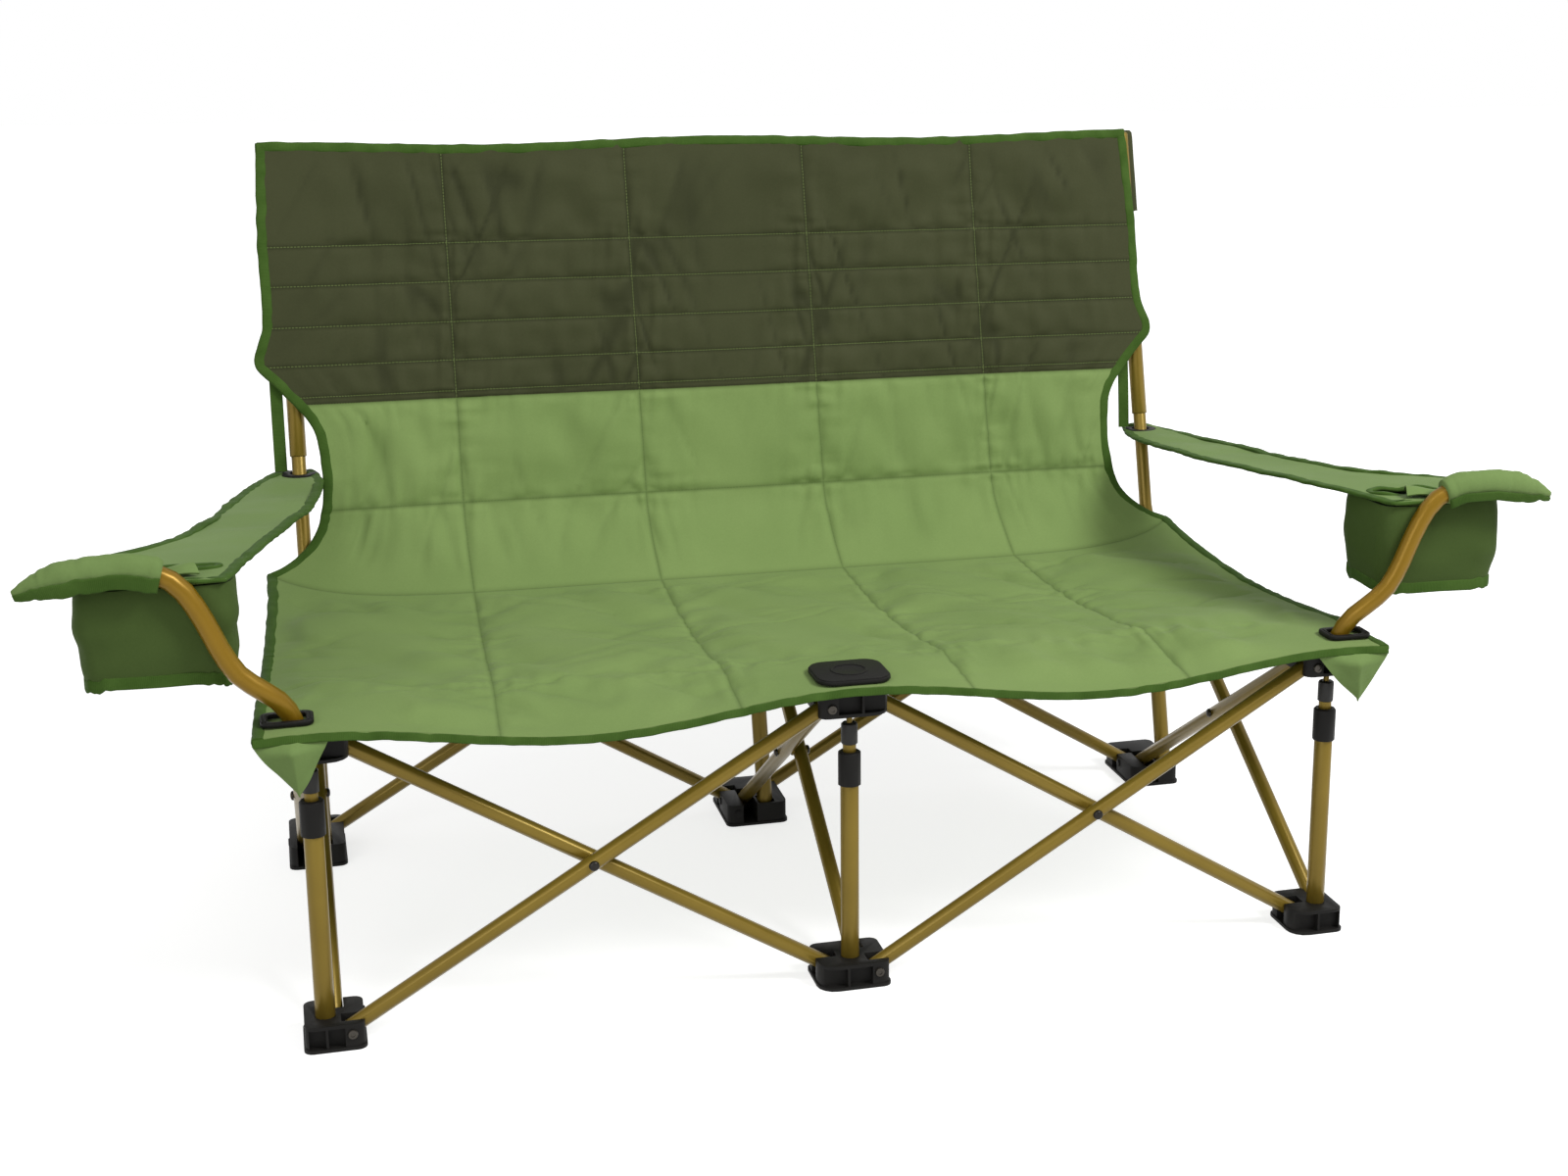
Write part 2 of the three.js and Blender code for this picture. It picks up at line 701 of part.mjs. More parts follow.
function rearPost() {
  const neckEnd = sleeveStart + sleeveOverlap;
  const swageEnd = swageStart + swageLength;
  const inner = neckRadius - postWall;
  const tube = revolved([
    [postRadius - postWall, -postEndReach - overrun],
    [postRadius, -postEndReach - overrun],
    [postRadius, swageStart],
    [neckRadius, swageEnd],
    [neckRadius, neckEnd],
    [inner, neckEnd],
    [inner, swageEnd],
    [postRadius - postWall, swageStart],
    [postRadius - postWall, -postEndReach - overrun],
  ]);
  const slope = postRadius - postEndFlat;
  const outline = new THREE.Shape([
    new THREE.Vector2(-postEndFlat, -postEndReach),
    new THREE.Vector2(postEndFlat, -postEndReach),
    new THREE.Vector2(postRadius + overrun, -postEndReach + slope + overrun),
    new THREE.Vector2(postRadius + overrun, neckEnd + overrun),
    new THREE.Vector2(-postRadius - overrun, neckEnd + overrun),
    new THREE.Vector2(-postRadius - overrun, -postEndReach + slope + overrun),
  ]);
  const width = 2 * (postRadius + overrun);
  const end = new THREE.ExtrudeGeometry(outline, { depth: width, bevelEnabled: false })
    .translate(0, 0, -width / 2)
    .rotateX(Math.PI / 2)
    .rotateZ(Math.PI / 2);
  const hole = rodBetween(
    new THREE.Vector3(-postRadius - overrun, 0, 0),
    new THREE.Vector3(postRadius + overrun, 0, 0),
    screwRadius + pinClearance,
    pinSides,
  );
  return tube.intersect(solidOf(end)).subtract(hole);
}

function rearPostSleeve() {
  const inner = neckRadius + seatGap;
  return revolved([
    [inner, sleeveStart],
    [postRadius, sleeveStart],
    [postRadius, rearPostLength - pocketedPostBevel],
    [postRadius - pocketedPostBevel, rearPostLength],
    [0, rearPostLength],
    [0, rearPostLength - postWall],
    [inner, rearPostLength - postWall],
    [inner, sleeveStart],
  ]);
}

for (const side of sides) {
  const stand = (mesh) => {
    mesh.position.set(columns[side] + rearPostAside, rearPivotY, postPivotHeight);
    mesh.rotation.x = -postLean;
  };
  piece(`rear_${side}_post`, rearPost(), bronze, stand);
  piece(`rear_${side}_post_sleeve`, rearPostSleeve(), bronze, stand);
}

// Arm tubes
const { lerp, clamp } = THREE.MathUtils;
const armBase = columnPitch + armAside;
const armBottom = hubTop - armSocketDepth;

function armPath(side, first = 0) {
  const points = armPathShares
    .slice(first)
    .map(([out, up, ahead]) => [armBase + out * armReach, -ahead * armForward, armBottom + up * armRise])
    .map(([x, y, z]) => new THREE.Vector3(outward[side] * x, y, z));
  return new THREE.CatmullRomCurve3(points);
}

function circleShape(radius, hole = 0) {
  const ring = (size, count) =>
    Array.from({ length: Math.abs(count) }, (_, i) => {
      const angle = (2 * Math.PI * i) / count;
      return new THREE.Vector2(size * Math.cos(angle), size * Math.sin(angle));
    });
  const shape = new THREE.Shape(ring(radius, barSides));
  if (hole) shape.holes.push(new THREE.Path(ring(hole, -boreSides)));
  return shape;
}

const swept = (shape, path, steps) =>
  solidOf(new THREE.ExtrudeGeometry(shape, { steps, bevelEnabled: false, extrudePath: path }));

function armTube(side, radius, hole) {
  return swept(circleShape(radius, hole), armPath(side), armSteps);
}

// A plug round the end of an arm path, from inside it to a length past it
function endPlug(path, past, radius, tipRadius) {
  const tip = path.getPointAt(1);
  const way = path.getTangentAt(1);
  const from = tip.clone().addScaledVector(way, -overrun);
  return rodBetween(from, tip.addScaledVector(way, past), radius, barSides, tipRadius);
}

// The arm tube's room in what fits over it, a little longer than the tube
const armRoom = (side) =>
  armTube(side, postRadius + seatGap).add(endPlug(armPath(side), seatGap, postRadius));

for (const side of armSides) {
  piece(`${side}_arm_tube`, armTube(side, postRadius, postRadius - postWall), gold);
}

// Quilted cloth: a closed sheet on a grid, thin at its seams and padded between them
function quiltLines(seams, steps) {
  const lines = [];
  for (let i = 0; i + 1 < seams.length; i += 1) {
    const count = steps[i] ?? steps;
    for (let k = 0; k < count; k += 1) {
      const part = k / count;
      lines.push({ at: lerp(seams[i], seams[i + 1], part), swell: Math.sin(Math.PI * part) });
    }
  }
  lines.push({ at: seams[seams.length - 1], swell: 0 });
  return lines;
}

function clothSheet(acrossLines, alongLines, middleAt, halfAt) {
  const columnsCount = acrossLines.length;
  const rowsCount = alongLines.length;
  const middle = alongLines.map((v) => acrossLines.map((u) => middleAt(u.at, v.at)));
  const positions = [];
  for (const face of [1, -1]) {
    for (let j = 0; j < rowsCount; j += 1) {
      for (let i = 0; i < columnsCount; i += 1) {
        const across = new THREE.Vector3().subVectors(
          middle[j][Math.min(i + 1, columnsCount - 1)],
          middle[j][Math.max(i - 1, 0)],
        );
        const along = new THREE.Vector3().subVectors(
          middle[Math.min(j + 1, rowsCount - 1)][i],
          middle[Math.max(j - 1, 0)][i],
        );
        const normal = across.cross(along).normalize();
        const half = halfAt(Math.sqrt(acrossLines[i].swell * alongLines[j].swell));
        positions.push(...middle[j][i].clone().addScaledVector(normal, face * half).toArray());
      }
    }
  }
  const layer = columnsCount * rowsCount;
  const top = (i, j) => j * columnsCount + i;
  const under = (i, j) => layer + top(i, j);
  const faces = [];
  const quad = (a, b, c, d) => faces.push(a, b, c, a, c, d);
  for (let j = 0; j + 1 < rowsCount; j += 1) {
    for (let i = 0; i + 1 < columnsCount; i += 1) {
      quad(top(i, j), top(i + 1, j), top(i + 1, j + 1), top(i, j + 1));
      quad(under(i, j), under(i, j + 1), under(i + 1, j + 1), under(i + 1, j));
    }
  }
  const lastRow = rowsCount - 1;
  const lastColumn = columnsCount - 1;
  for (let i = 0; i < lastColumn; i += 1) {
    quad(under(i, 0), under(i + 1, 0), top(i + 1, 0), top(i, 0));
    quad(under(i + 1, lastRow), under(i, lastRow), top(i, lastRow), top(i + 1, lastRow));
  }
  for (let j = 0; j < lastRow; j += 1) {
    quad(under(0, j + 1), under(0, j), top(0, j), top(0, j + 1));
    quad(under(lastColumn, j), under(lastColumn, j + 1), top(lastColumn, j + 1), top(lastColumn, j));
  }
  const geometry = new THREE.BufferGeometry();
  geometry.setAttribute("position", new THREE.Float32BufferAttribute(positions, 3));
  geometry.setIndex(faces);
  return solidOf(geometry);
}

const cellColumns = quiltLines(cellColumnShares, cellSteps);
const padding = (seam, pad) => (swell) => lerp(seam, pad, swell);

// The seam between seat and back, with an ear at each end that reaches back over a hub
function junctionAt(across) {
  const ear = Math.abs(across) ** earPower;
  return { y: junctionY + earReach * ear, rise: earRise * ear };
}

// The seat hangs between its hubs like a sling

function seatPoint(across, y) {
  const part = clamp((y + seatFrontEdge) / (junctionY + seatFrontEdge), 0, 1);
  const x = across * lerp(seatFrontHalf, seatRearHalf, part);
  const between = Math.sin((Math.PI * x) / columnPitch) ** 2;
  const ahead = clamp((seatCrease - y) / (seatCrease + seatFrontEdge), 0, 1);
  const seam = junctionAt(across);
  const behind = clamp((y - seatCrease) / (seam.y - seatCrease), 0, 1);
  const sag = frontSag * between * ahead + slingSag * Math.sin(Math.PI * behind);
  const turned = Math.max(-seatFrontEdge - y, 0);
  const z = seatMiddle - sag - (seatRearDrop - seam.rise) * behind ** 2 - turned;
  return new THREE.Vector3(x, y + turned * (1 - hemTurnShare), z);
}

// Rows of the cell between the crease and the seam with the back, on one side of the fold line
function seatRows(from, to, steps) {
  return Array.from({ length: steps + 1 }, (_, i) => {
    const share = lerp(from, to, i / steps);
    return { at: share, swell: Math.max(Math.sin(Math.PI * share), 0) };
  });
}

// The triangular pocket that hangs at a front corner of the seat
function cornerFlap(side) {
  const corner = seatPoint(side, -seatFrontEdge);
  const inner = corner.x - side * flapInside;
  const apex = (corner.x + inner) / 2 - side * flapThickness;
  const shape = new THREE.Shape([
    new THREE.Vector2(Math.min(inner, corner.x), corner.z),
    new THREE.Vector2(apex, corner.z - flapDrop),
    new THREE.Vector2(Math.max(inner, corner.x), corner.z),
  ]);
  const flap = new THREE.ExtrudeGeometry(shape, { depth: flapThickness, bevelEnabled: false });
  return solidOf(flap.rotateX(Math.PI / 2).translate(0, -seatFrontEdge + flapThickness, 0));
}

const clothTop = seatMiddle + padHalf + seatGap;

function grommetOutline(side, shrink) {
  const at = outward[side] * armBase;
  const inner = outward[side] * (grommetInside - shrink);
  const outer = outward[side] * (grommetOutside - shrink);
  const xs = side === "left" ? [at + outer, at - inner] : [at - inner, at + outer];
  const corner = grommetCorner - shrink / 2;
  return roundedOutline(xs, [-grommetFront + shrink, grommetRear - shrink], Array(4).fill(corner));
}

// Where the seat's rows reach, from the front edge to the crease and on to the fold line
const foldShare = (foldLine - seatCrease) / (junctionY - seatCrease);
const foldGapShare = clothJoint / 2 / (junctionY - seatCrease);
const hem = { at: -seatFrontEdge - hemDrop, swell: 0 };
const frontStrip = [hem, ...quiltLines([-seatFrontEdge, seatCrease], 2)];
const creaseToFold = seatRows(0, foldShare - foldGapShare, 3).map(({ at, swell }) => ({
  at: lerp(seatCrease, junctionY, at),
  swell,
}));
const seatHoles = armSides.map((side) =>
  prism(grommetOutline(side, grommetRim - seatGap), hubTop, clothTop + overrun, 1),
);
const bossHole = roundBar(plateBoss + seatGap, hubTop, clothTop + overrun, barSides);
const seatFront = clothSheet(
  cellColumns,
  [...frontStrip.slice(0, -1), ...creaseToFold],
  seatPoint,
  padding(seamHalf, padHalf),
);
piece("seat_front", cut(join([seatFront, cornerFlap(-1), cornerFlap(1)]), [...seatHoles, bossHole]), sage);

const seatRear = clothSheet(
  cellColumns,
  seatRows(foldShare + foldGapShare, 1, 3),
  (across, share) => seatPoint(across, lerp(seatCrease, junctionAt(across).y - clothJoint, share)),
  padding(seamHalf, padHalf),
);
piece("seat_rear", seatRear, sage);

// The back: its middle layer rises from the seat, bends on to the posts' slope and runs up them
const backBend = backRowShares[1];
const layerLead = postRadius / Math.cos(postLean) + seatGap + backPadHalf / Math.cos(postLean);
const slopeAt = (height) => rearPivotY + (height - postPivotHeight) * Math.tan(postLean);
const backHeightAt = (share) => lerp(junctionHeight, backTop, share);

function backHalfWidth(share) {
  const next = backWidthShares.findIndex(([height]) => height >= share);
  if (next < 1) return backWidest * backWidthShares[0][1];
  const [lowHeight, lowWidth] = backWidthShares[next - 1];
  const [highHeight, highWidth] = backWidthShares[next];
  return backWidest * lerp(lowWidth, highWidth, (share - lowHeight) / (highHeight - lowHeight));
}

function backPoint(across, share) {
  const height = backHeightAt(share);
  const unbent = clamp((backBend - share) / backBend, 0, 1);
  const seam = junctionAt(across);
  const straight = slopeAt(Math.max(height, backHeightAt(backBend))) - layerLead;
  const y = lerp(straight, seam.y, unbent ** backTurn);
  return new THREE.Vector3(across * backHalfWidth(share), y, height + seam.rise * unbent ** 2);
}

// Things that follow a rear post are made on its axis, then leaned back with it
const leanWithPost = (solid, side) =>
  solid
    .rotate([-THREE.MathUtils.radToDeg(postLean), 0, 0])
    .translate([columns[side] + rearPostAside, rearPivotY, postPivotHeight]);

function postPocket(side) {
  const bottom = rearPostLength - sleevePocketDepth;
  const top = rearPostLength + seatGap + pocketCap;
  const front = -layerLead * Math.cos(postLean);
  const shape = roundedOutline(
    [-sleevePocketHalf, sleevePocketHalf],
    [front, sleevePocketRear],
    [0, 0, cornerRadius, cornerRadius],
  );
  return leanWithPost(prism(shape, bottom, top), side);
}

function postRoom(side) {
  const room = roundBar(postRadius + seatGap, sleeveStart, rearPostLength + seatGap);
  return leanWithPost(room, side);
}

const ringInner = postRadius + ringRoom;
const ringOuter = ringInner + ringWidth;

// The armrests' rings keep clear of the panel's edges
function ringRoomOf(side) {
  const reach = ringThickness / 2 + seatGap;
  const place = [columns[side] + rearPostAside, slopeAt(armrestRingHeight), armrestRingHeight];
  return roundBar(ringOuter + seatGap, -reach, reach).translate(place);
}

const backPanel = clothSheet(
  cellColumns,
  quiltLines(backRowShares, backRowSteps),
  backPoint,
  padding(backSeamHalf, backPadHalf),
);
const backRooms = [...sides.map(postRoom), ...armSides.map(ringRoomOf)];
piece("back", cut(join([backPanel, ...sides.map(postPocket)]), backRooms), darkPanel);

// Armrests
const sleeveRadius = postRadius + seatGap + sleeveWall;
const armrestFront = -armForward + (sleeveRadius - sleeveWall / 2) * Math.cos(sleeveSeamAngle);
const armrestFrontHeight = armBottom + armRise - armrestDrop;
const armrestFall = armrestFrontHeight - armrestRingHeight;
const sleeveSeamRise = armrestDrop - (sleeveRadius - sleeveWall / 2) * Math.sin(sleeveSeamAngle);

function armrestEdge(part) {
  const next = clamp(
    armrestRowShares.findIndex(([along]) => along >= part),
    1,
    armrestRowShares.length - 1,
  );
  const [low, high] = [armrestRowShares[next - 1], armrestRowShares[next]];
  const between = (part - low[0]) / (high[0] - low[0]);
  return low.map((value, i) => lerp(value, high[i], between));
}

function armrestPoint(side) {
  return (across, part) => {
    const [, inner, outer, fall] = armrestEdge(part);
    const x = columnPitch + armrestOuter * lerp(inner, outer, side > 0 ? across : 1 - across);
    const y = lerp(armrestFront, armrestRear, part);
    const aside = rearPostAside * part ** 2;
    const rise = part > 0 ? 0 : sleeveSeamRise;
    return new THREE.Vector3(side * x + aside, y, armrestFrontHeight + rise - fall * armrestFall);
  };
}

function pouchOutline(shrink, side) {
  const inner = columnPitch + pouchOuter - pouchWidth + shrink;
  const outer = columnPitch + pouchOuter - shrink;
  const xs = side === "left" ? [-outer, -inner] : [inner, outer];
  const corners = Array(4).fill(pouchCorner - shrink / 2);
  return roundedOutline(xs, [-pouchFront + shrink, pouchRear - shrink], corners);
}

const armrestCutReach = armrestHalf + Math.abs(armrestFall) + overrun;

for (const side of armSides) {
  const lines = Array.from({ length: armrestSteps + 1 }, (_, i) => ({ at: i / armrestSteps, swell: 1 }));
  const rows = armrestRowShares.map(([at]) => ({ at, swell: 1 }));
  const strip = clothSheet(lines, rows, armrestPoint(outward[side]), () => armrestHalf);
  const path = armPath(side, sleeveFirst);
  const sleeve = swept(circleShape(sleeveRadius), path, armSteps / 2);
  const cap = endPlug(path, sleeveTip, postRadius + sleeveWall, sleeveTipRadius);
  const heights = [armrestFrontHeight - armrestCutReach, armrestFrontHeight + armrestCutReach];
  const mouth = prism(pouchOutline(pouchLip, side), ...heights);
  const ringHole = roundBar(ringOuter + seatGap, -armrestCutReach, armrestCutReach);
  const post = columns[side] + rearPostAside;
  const ringAt = slopeAt(armrestRingHeight);
  const cloths = join([strip, sleeve, cap]);
  const cutters = [armRoom(side), mouth, ringHole.translate([post, ringAt, armrestRingHeight])];
  piece(`${side}_armrest`, cut(cloths, cutters), sage);

  const ring = tubeAlong(ringOuter, ringInner, -ringThickness / 2, ringThickness / 2);
  piece(`${side}_armrest_ring`, ring, black, (mesh) => mesh.position.set(post, ringAt, armrestRingHeight));
}

// A closed solid through rings of equally many points, flat over its first and last ring
function loft(rings) {
  const count = rings[0].length;
  const positions = rings.flat().flatMap((point) => point.toArray());
  const total = (ring) => ring.reduce((sum, point) => sum.add(point), new THREE.Vector3());
  const middle = (ring) => total(ring).divideScalar(count);
  const faces = [];
  for (let k = 0; k + 1 < rings.length; k += 1) {
    for (let i = 0; i < count; i += 1) {
      const next = (i + 1) % count;
      const [low, high] = [k * count, (k + 1) * count];
      faces.push(low + i, low + next, high + next, low + i, high + next, high + i);
    }
  }
  const lastRing = (rings.length - 1) * count;
  const [firstMiddle, lastMiddle] = [rings.length * count, rings.length * count + 1];
  positions.push(...middle(rings[0]).toArray(), ...middle(rings[rings.length - 1]).toArray());
  for (let i = 0; i < count; i += 1) {
    const next = (i + 1) % count;
    faces.push(firstMiddle, next, i, lastMiddle, lastRing + i, lastRing + next);
  }
  const geometry = new THREE.BufferGeometry();
  geometry.setAttribute("position", new THREE.Float32BufferAttribute(positions, 3));
  geometry.setIndex(faces);
  return solidOf(geometry);
}

// Cup pouches: soft boxes that hang from the armrests, open above
function pouch(side) {
  const ring = (shrink, height) =>
    pouchOutline(shrink, side)
      .extractPoints(2)
      .shape.slice(0, -1)
      .map(({ x, y }) => new THREE.Vector3(x, y, height));
  const top = armrestFrontHeight - armrestHalf - pouchDrop;
  return loft([
    ring(pouchTaper, pouchFloor),
    ring(0, top),
    ring(pouchWall, top),
    ring(pouchTaper + pouchWall, pouchFloor + pouchWall),
  ]);
}

for (const side of armSides) {
  piece(`${side}_cup_pouch`, pouch(side), sage);
}

// Straps that hold the armrests' rear ends up to the back
for (const side of armSides) {
  const behind = (height) => slopeAt(height) - layerLead + (backPadHalf + seatGap) / Math.cos(postLean);
  const lapTop = strapTop + strapLap;
  const low = armrestRingHeight + ringThickness / 2 + seatGap;
  const rearward = (height) => slopeAt(height) + strapSlack;
  const shape = new THREE.Shape([
    new THREE.Vector2(rearward(low), low),
    new THREE.Vector2(rearward(low) + strapThickness, low),
    new THREE.Vector2(behind(strapTop) + strapThickness, strapTop),
    new THREE.Vector2(behind(lapTop) + strapThickness, lapTop),
    new THREE.Vector2(behind(lapTop), lapTop),
    new THREE.Vector2(behind(strapTop), strapTop),
  ]);
  const band = new THREE.ExtrudeGeometry(shape, { depth: strapWidth, bevelEnabled: false });
  // the outline's Y and Z become the part's, and its depth runs along X
  band.applyMatrix4(new THREE.Matrix4().set(0, 0, 1, 0, 1, 0, 0, 0, 0, 1, 0, 0, 0, 0, 0, 1));
  const left = columns[side] + rearPostAside - strapAside - strapWidth / 2;
  piece(`${side}_back_strap`, solidOf(band.translate(left, 0, 0)), sage);
}

// The plate over the middle hub, with a boss through the cloth, and the corner grommets
function seatPlate() {
  const outline = (shrink) =>
    roundedOutline(
      [-plateWidth / 2 + shrink, plateWidth / 2 - shrink],
      [-plateDepth / 2 + shrink, plateDepth / 2 - shrink],
      Array(4).fill(plateCorner - shrink),
    );
  const top = clothTop + plateHeight;
  const ringHole = plateRingRadius - plateRingWidth;
  return join([
    prism(outline(0), clothTop, top - plateBevel),
    prism(outline(plateBevel), clothTop + plateBevel, top),
    tubeAlong(plateRingRadius, ringHole, top - plateRingHeight, top + plateRingHeight),
    roundBar(plateBoss, hubTop + seatGap, clothTop + plateBevel, barSides),
  ]);
}

piece("seat_plate", seatPlate(), black);

for (const side of armSides) {
  const top = clothTop + grommetHeight;
  const rim = prism(grommetOutline(side, 0), clothTop, top);
  const mouth = prism(grommetOutline(side, grommetRim), clothTop - overrun, top + overrun, 1);
  piece(`${side}_seat_grommet`, cut(rim, [mouth]), black);
}

// The origin goes to the middle of the whole piece's footprint, on the ground
const box = new THREE.Box3().setFromObject(loveseat);
const origin = box.getCenter(new THREE.Vector3()).setZ(box.min.z);
for (const mesh of loveseat.children) mesh.position.sub(origin);

export default loveseat;
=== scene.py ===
"""A folding camping loveseat in its photographed look: quilted seat and back, padded armrests with cup
pouches, tape-bound edges, coated tubes and moulded corner blocks, in a pale studio.

Sizes are millimetres in the maker's frame, with y = 0 at the front columns, and become metres in place().
"""
import math

import bmesh
import bpy
import numpy as np
from mathutils import Matrix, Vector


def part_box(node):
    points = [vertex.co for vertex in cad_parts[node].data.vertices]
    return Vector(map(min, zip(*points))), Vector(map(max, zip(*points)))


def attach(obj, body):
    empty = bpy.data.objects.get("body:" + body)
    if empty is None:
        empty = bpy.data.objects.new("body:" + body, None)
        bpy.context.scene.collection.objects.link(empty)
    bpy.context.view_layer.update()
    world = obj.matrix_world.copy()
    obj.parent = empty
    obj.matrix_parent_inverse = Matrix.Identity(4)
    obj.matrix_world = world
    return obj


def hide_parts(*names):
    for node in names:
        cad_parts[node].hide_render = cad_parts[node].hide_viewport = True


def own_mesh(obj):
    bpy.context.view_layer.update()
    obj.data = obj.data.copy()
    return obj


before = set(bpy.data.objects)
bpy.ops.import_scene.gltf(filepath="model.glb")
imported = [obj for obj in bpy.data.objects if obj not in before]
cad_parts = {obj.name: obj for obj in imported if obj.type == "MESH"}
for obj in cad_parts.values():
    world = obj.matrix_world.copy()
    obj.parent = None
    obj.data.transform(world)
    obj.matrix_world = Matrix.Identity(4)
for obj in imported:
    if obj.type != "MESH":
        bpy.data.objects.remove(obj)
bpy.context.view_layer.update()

# Frame of the loveseat
MM = 0.001
FRONT_Y = sum(corner[1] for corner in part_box("front_centre_post_tube")) / 2
PITCH = 518.0
SIDES = {"left": -1, "right": 1}
COLUMNS = {"left": -PITCH, "centre": 0.0, "right": PITCH}
POST_LEAN = math.radians(15)
POST_PIVOT = (460.0, 14.0)
POST_ASIDE = 12.0
POST_RADIUS = 9.5
POST_TOP = 800.0
HUB_TOP = 314.4

# Seat and back
SEAT_MIDDLE = HUB_TOP + 6.0
SEAT_FRONT = -40.0
SEAT_CREASE = 60.0
FOLD_LINE = PITCH / 2
JUNCTION = 453.0
EAR_REACH = 66.0
EAR_RISE = 20.0
EAR_ASIDE = 18.0
SEAT_HALF_WIDTHS = (566.0, 530.0)
SEAT_ROWS = (SEAT_FRONT, SEAT_CREASE, JUNCTION)
FRONT_SAG = 24.0
SLING_SAG = 15.0
REAR_DROP = 12.0
BACK_FOOT = SEAT_MIDDLE - REAR_DROP
BACK_TOP = 804.0
BACK_WIDEST = 545.0
BACK_TURN = 1.6
BACK_SLACK = 4.5
CELL_COLUMNS = (-1.0, -0.61, -0.205, 0.205, 0.61, 1.0)
BACK_ROWS = (0.0, 0.173, 0.411, 0.498, 0.585, 0.677, 0.766, 1.0)
BACK_WIDTHS = (
    # share of the height, share of the widest half width
    (0.0, 1.0055), (0.03, 0.965), (0.095, 0.912), (0.173, 0.886), (0.286, 0.881), (0.361, 0.894),
    (0.411, 0.927), (0.458, 0.965), (0.5, 1.0), (0.585, 0.983), (0.766, 0.982), (1.0, 0.972),
)
DARK_PANEL_FROM = 0.411
DARK_BORDER_LINE = DARK_PANEL_FROM + 0.0165
TAPE_WIDTH = 12.0
TAPE_THICKNESS = 2.2
HEM_HEIGHT = 8.0
HEM_THICKNESS = 2.4
FLAP_DROP = 56.0
FLAP_REACH = {-1: 66.0, 1: 78.0}

# Armrests
ARM_BASE = 528.0
ARM_REACH = 224.0
ARM_FOOT = 306.0
ARM_RISE = 173.0
ARM_FORWARD = 15.0
ARM_PATH = (
    # shares of the arm's reach and rise, over its last bend
    (0.475, 0.965), (0.57, 0.997), (0.71, 1.0), (0.81, 0.987), (0.9, 0.963), (0.965, 0.943), (1.03, 0.915),
)
SLEEVE_RADIUS = 12.5
SLEEVE_LENGTH = 235
SLEEVE_RINGS = 70
SKIRT_DROPS = {-1: 11.5, 1: 11.0}  # of the sleeve's front face under the tube's axis
SKIRT_BANDS = {-1: (0.0, -14.5), 1: (-4.0, -14.0)}  # top and bottom of the tape on that face
ARMREST_FRONT = -6.5
ARMREST_REAR = 596.0
ARMREST_HEIGHT = 463.0
ARMREST_OUTER = 186.0
ARMREST_HALF = 2.6
RING_HEIGHT = 433.0
ARMREST_WIDTHS = (
    # along, inner edge, outer edge (from the column), fall
    (0.0, 0.34, 1.03, 0.0),
    (0.03, 0.3, 1.04, 0.0),
    (0.09, 0.26, 1.045, 0.02),
    (0.165, 0.2, 1.03, 0.07),
    (0.21, 0.165, 0.93, 0.11),
    (0.26, 0.13, 0.77, 0.17),
    (0.33, 0.08, 0.63, 0.26),
    (0.48, -0.03, 0.48, 0.45),
    (0.62, -0.1, 0.41, 0.63),
    (0.8, -0.14, 0.32, 0.88),
    (0.92, -0.135, 0.23, 1.0),
    (1.0, -0.08, 0.12, 1.0),
)
POUCH_X = (574.0, 712.0)
POUCH_Y = (-5.0, 98.0)
POUCH_FLOOR = 366.0
POUCH_TOP = 458.6
POUCH_POINTS = 72
POUCH_PITCH = 6.4  # between the points, for the cloth's run
POUCH_SIDE = (
    # share of the height, how far the outline is drawn in
    (1.0, 0.0), (0.85, -1.6), (0.6, -2.6), (0.35, -1.4), (0.12, 1.8), (0.0, 5.0),
)
POUCH_INSIDE = ((0.04, 9.0), (0.5, 2.2), (1.0, 2.6))
MOUTH_MIDDLE = (620.0, 42.0)
MOUTH_SIZE = {-1: (66.0, 20.0), 1: (72.0, 34.0)}
CUTTER_LEVELS = (400.0, 500.0)

# Camera and light
CAMERA_PLACE = (-523.5, -2052.3, 990.0)
CAMERA_TURN = (75.9088, -0.2001, -15.8975)
CAMERA_LENS = 51.6
CAMERA_SHIFT = (-0.081, -0.029)
WORLD_LIGHT = 0.36
WHITE = (1.0, 1.0, 1.0, 1.0)


def place(points):
    """Millimetres in the maker's frame to metres in the model's frame."""
    return (np.asarray(points, float) + (0.0, FRONT_Y / MM, 0.0)) * MM


def box_of(node):
    """A CAD node's lowest and highest corner, in millimetres in the maker's frame."""
    return (np.array(corner) / MM - (0, FRONT_Y / MM, 0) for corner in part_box(node))


def lerp(low, high, part):
    return low + (high - low) * part


def unit(vectors):
    """Vectors over their own lengths."""
    return vectors / np.maximum(np.linalg.norm(vectors, axis=-1, keepdims=True), 1e-9)


def smooth_through(knots, values, at):
    """Cubic Hermite curve through the knots, with each slope the mean of its two neighbours' slopes."""
    knots, values = np.asarray(knots, float), np.asarray(values, float)
    rises = np.diff(values, axis=0).T / np.diff(knots)
    means = (rises[..., 1:] + rises[..., :-1]) / 2
    slopes = np.concatenate([rises[..., :1], means, rises[..., -1:]], -1).T
    k = np.clip(np.searchsorted(knots, at, side="right") - 1, 0, len(knots) - 2)
    width = knots[k + 1] - knots[k]
    t = (at - knots[k]) / width
    if values.ndim > 1:
        t, width = t[..., None], width[..., None]
    return (
        (2 * t**3 - 3 * t**2 + 1) * values[k]
        + (t**3 - 2 * t**2 + t) * width * slopes[k]
        + (3 * t**2 - 2 * t**3) * values[k + 1]
        + (t**3 - t**2) * width * slopes[k + 1]
    )


WAVES = 14


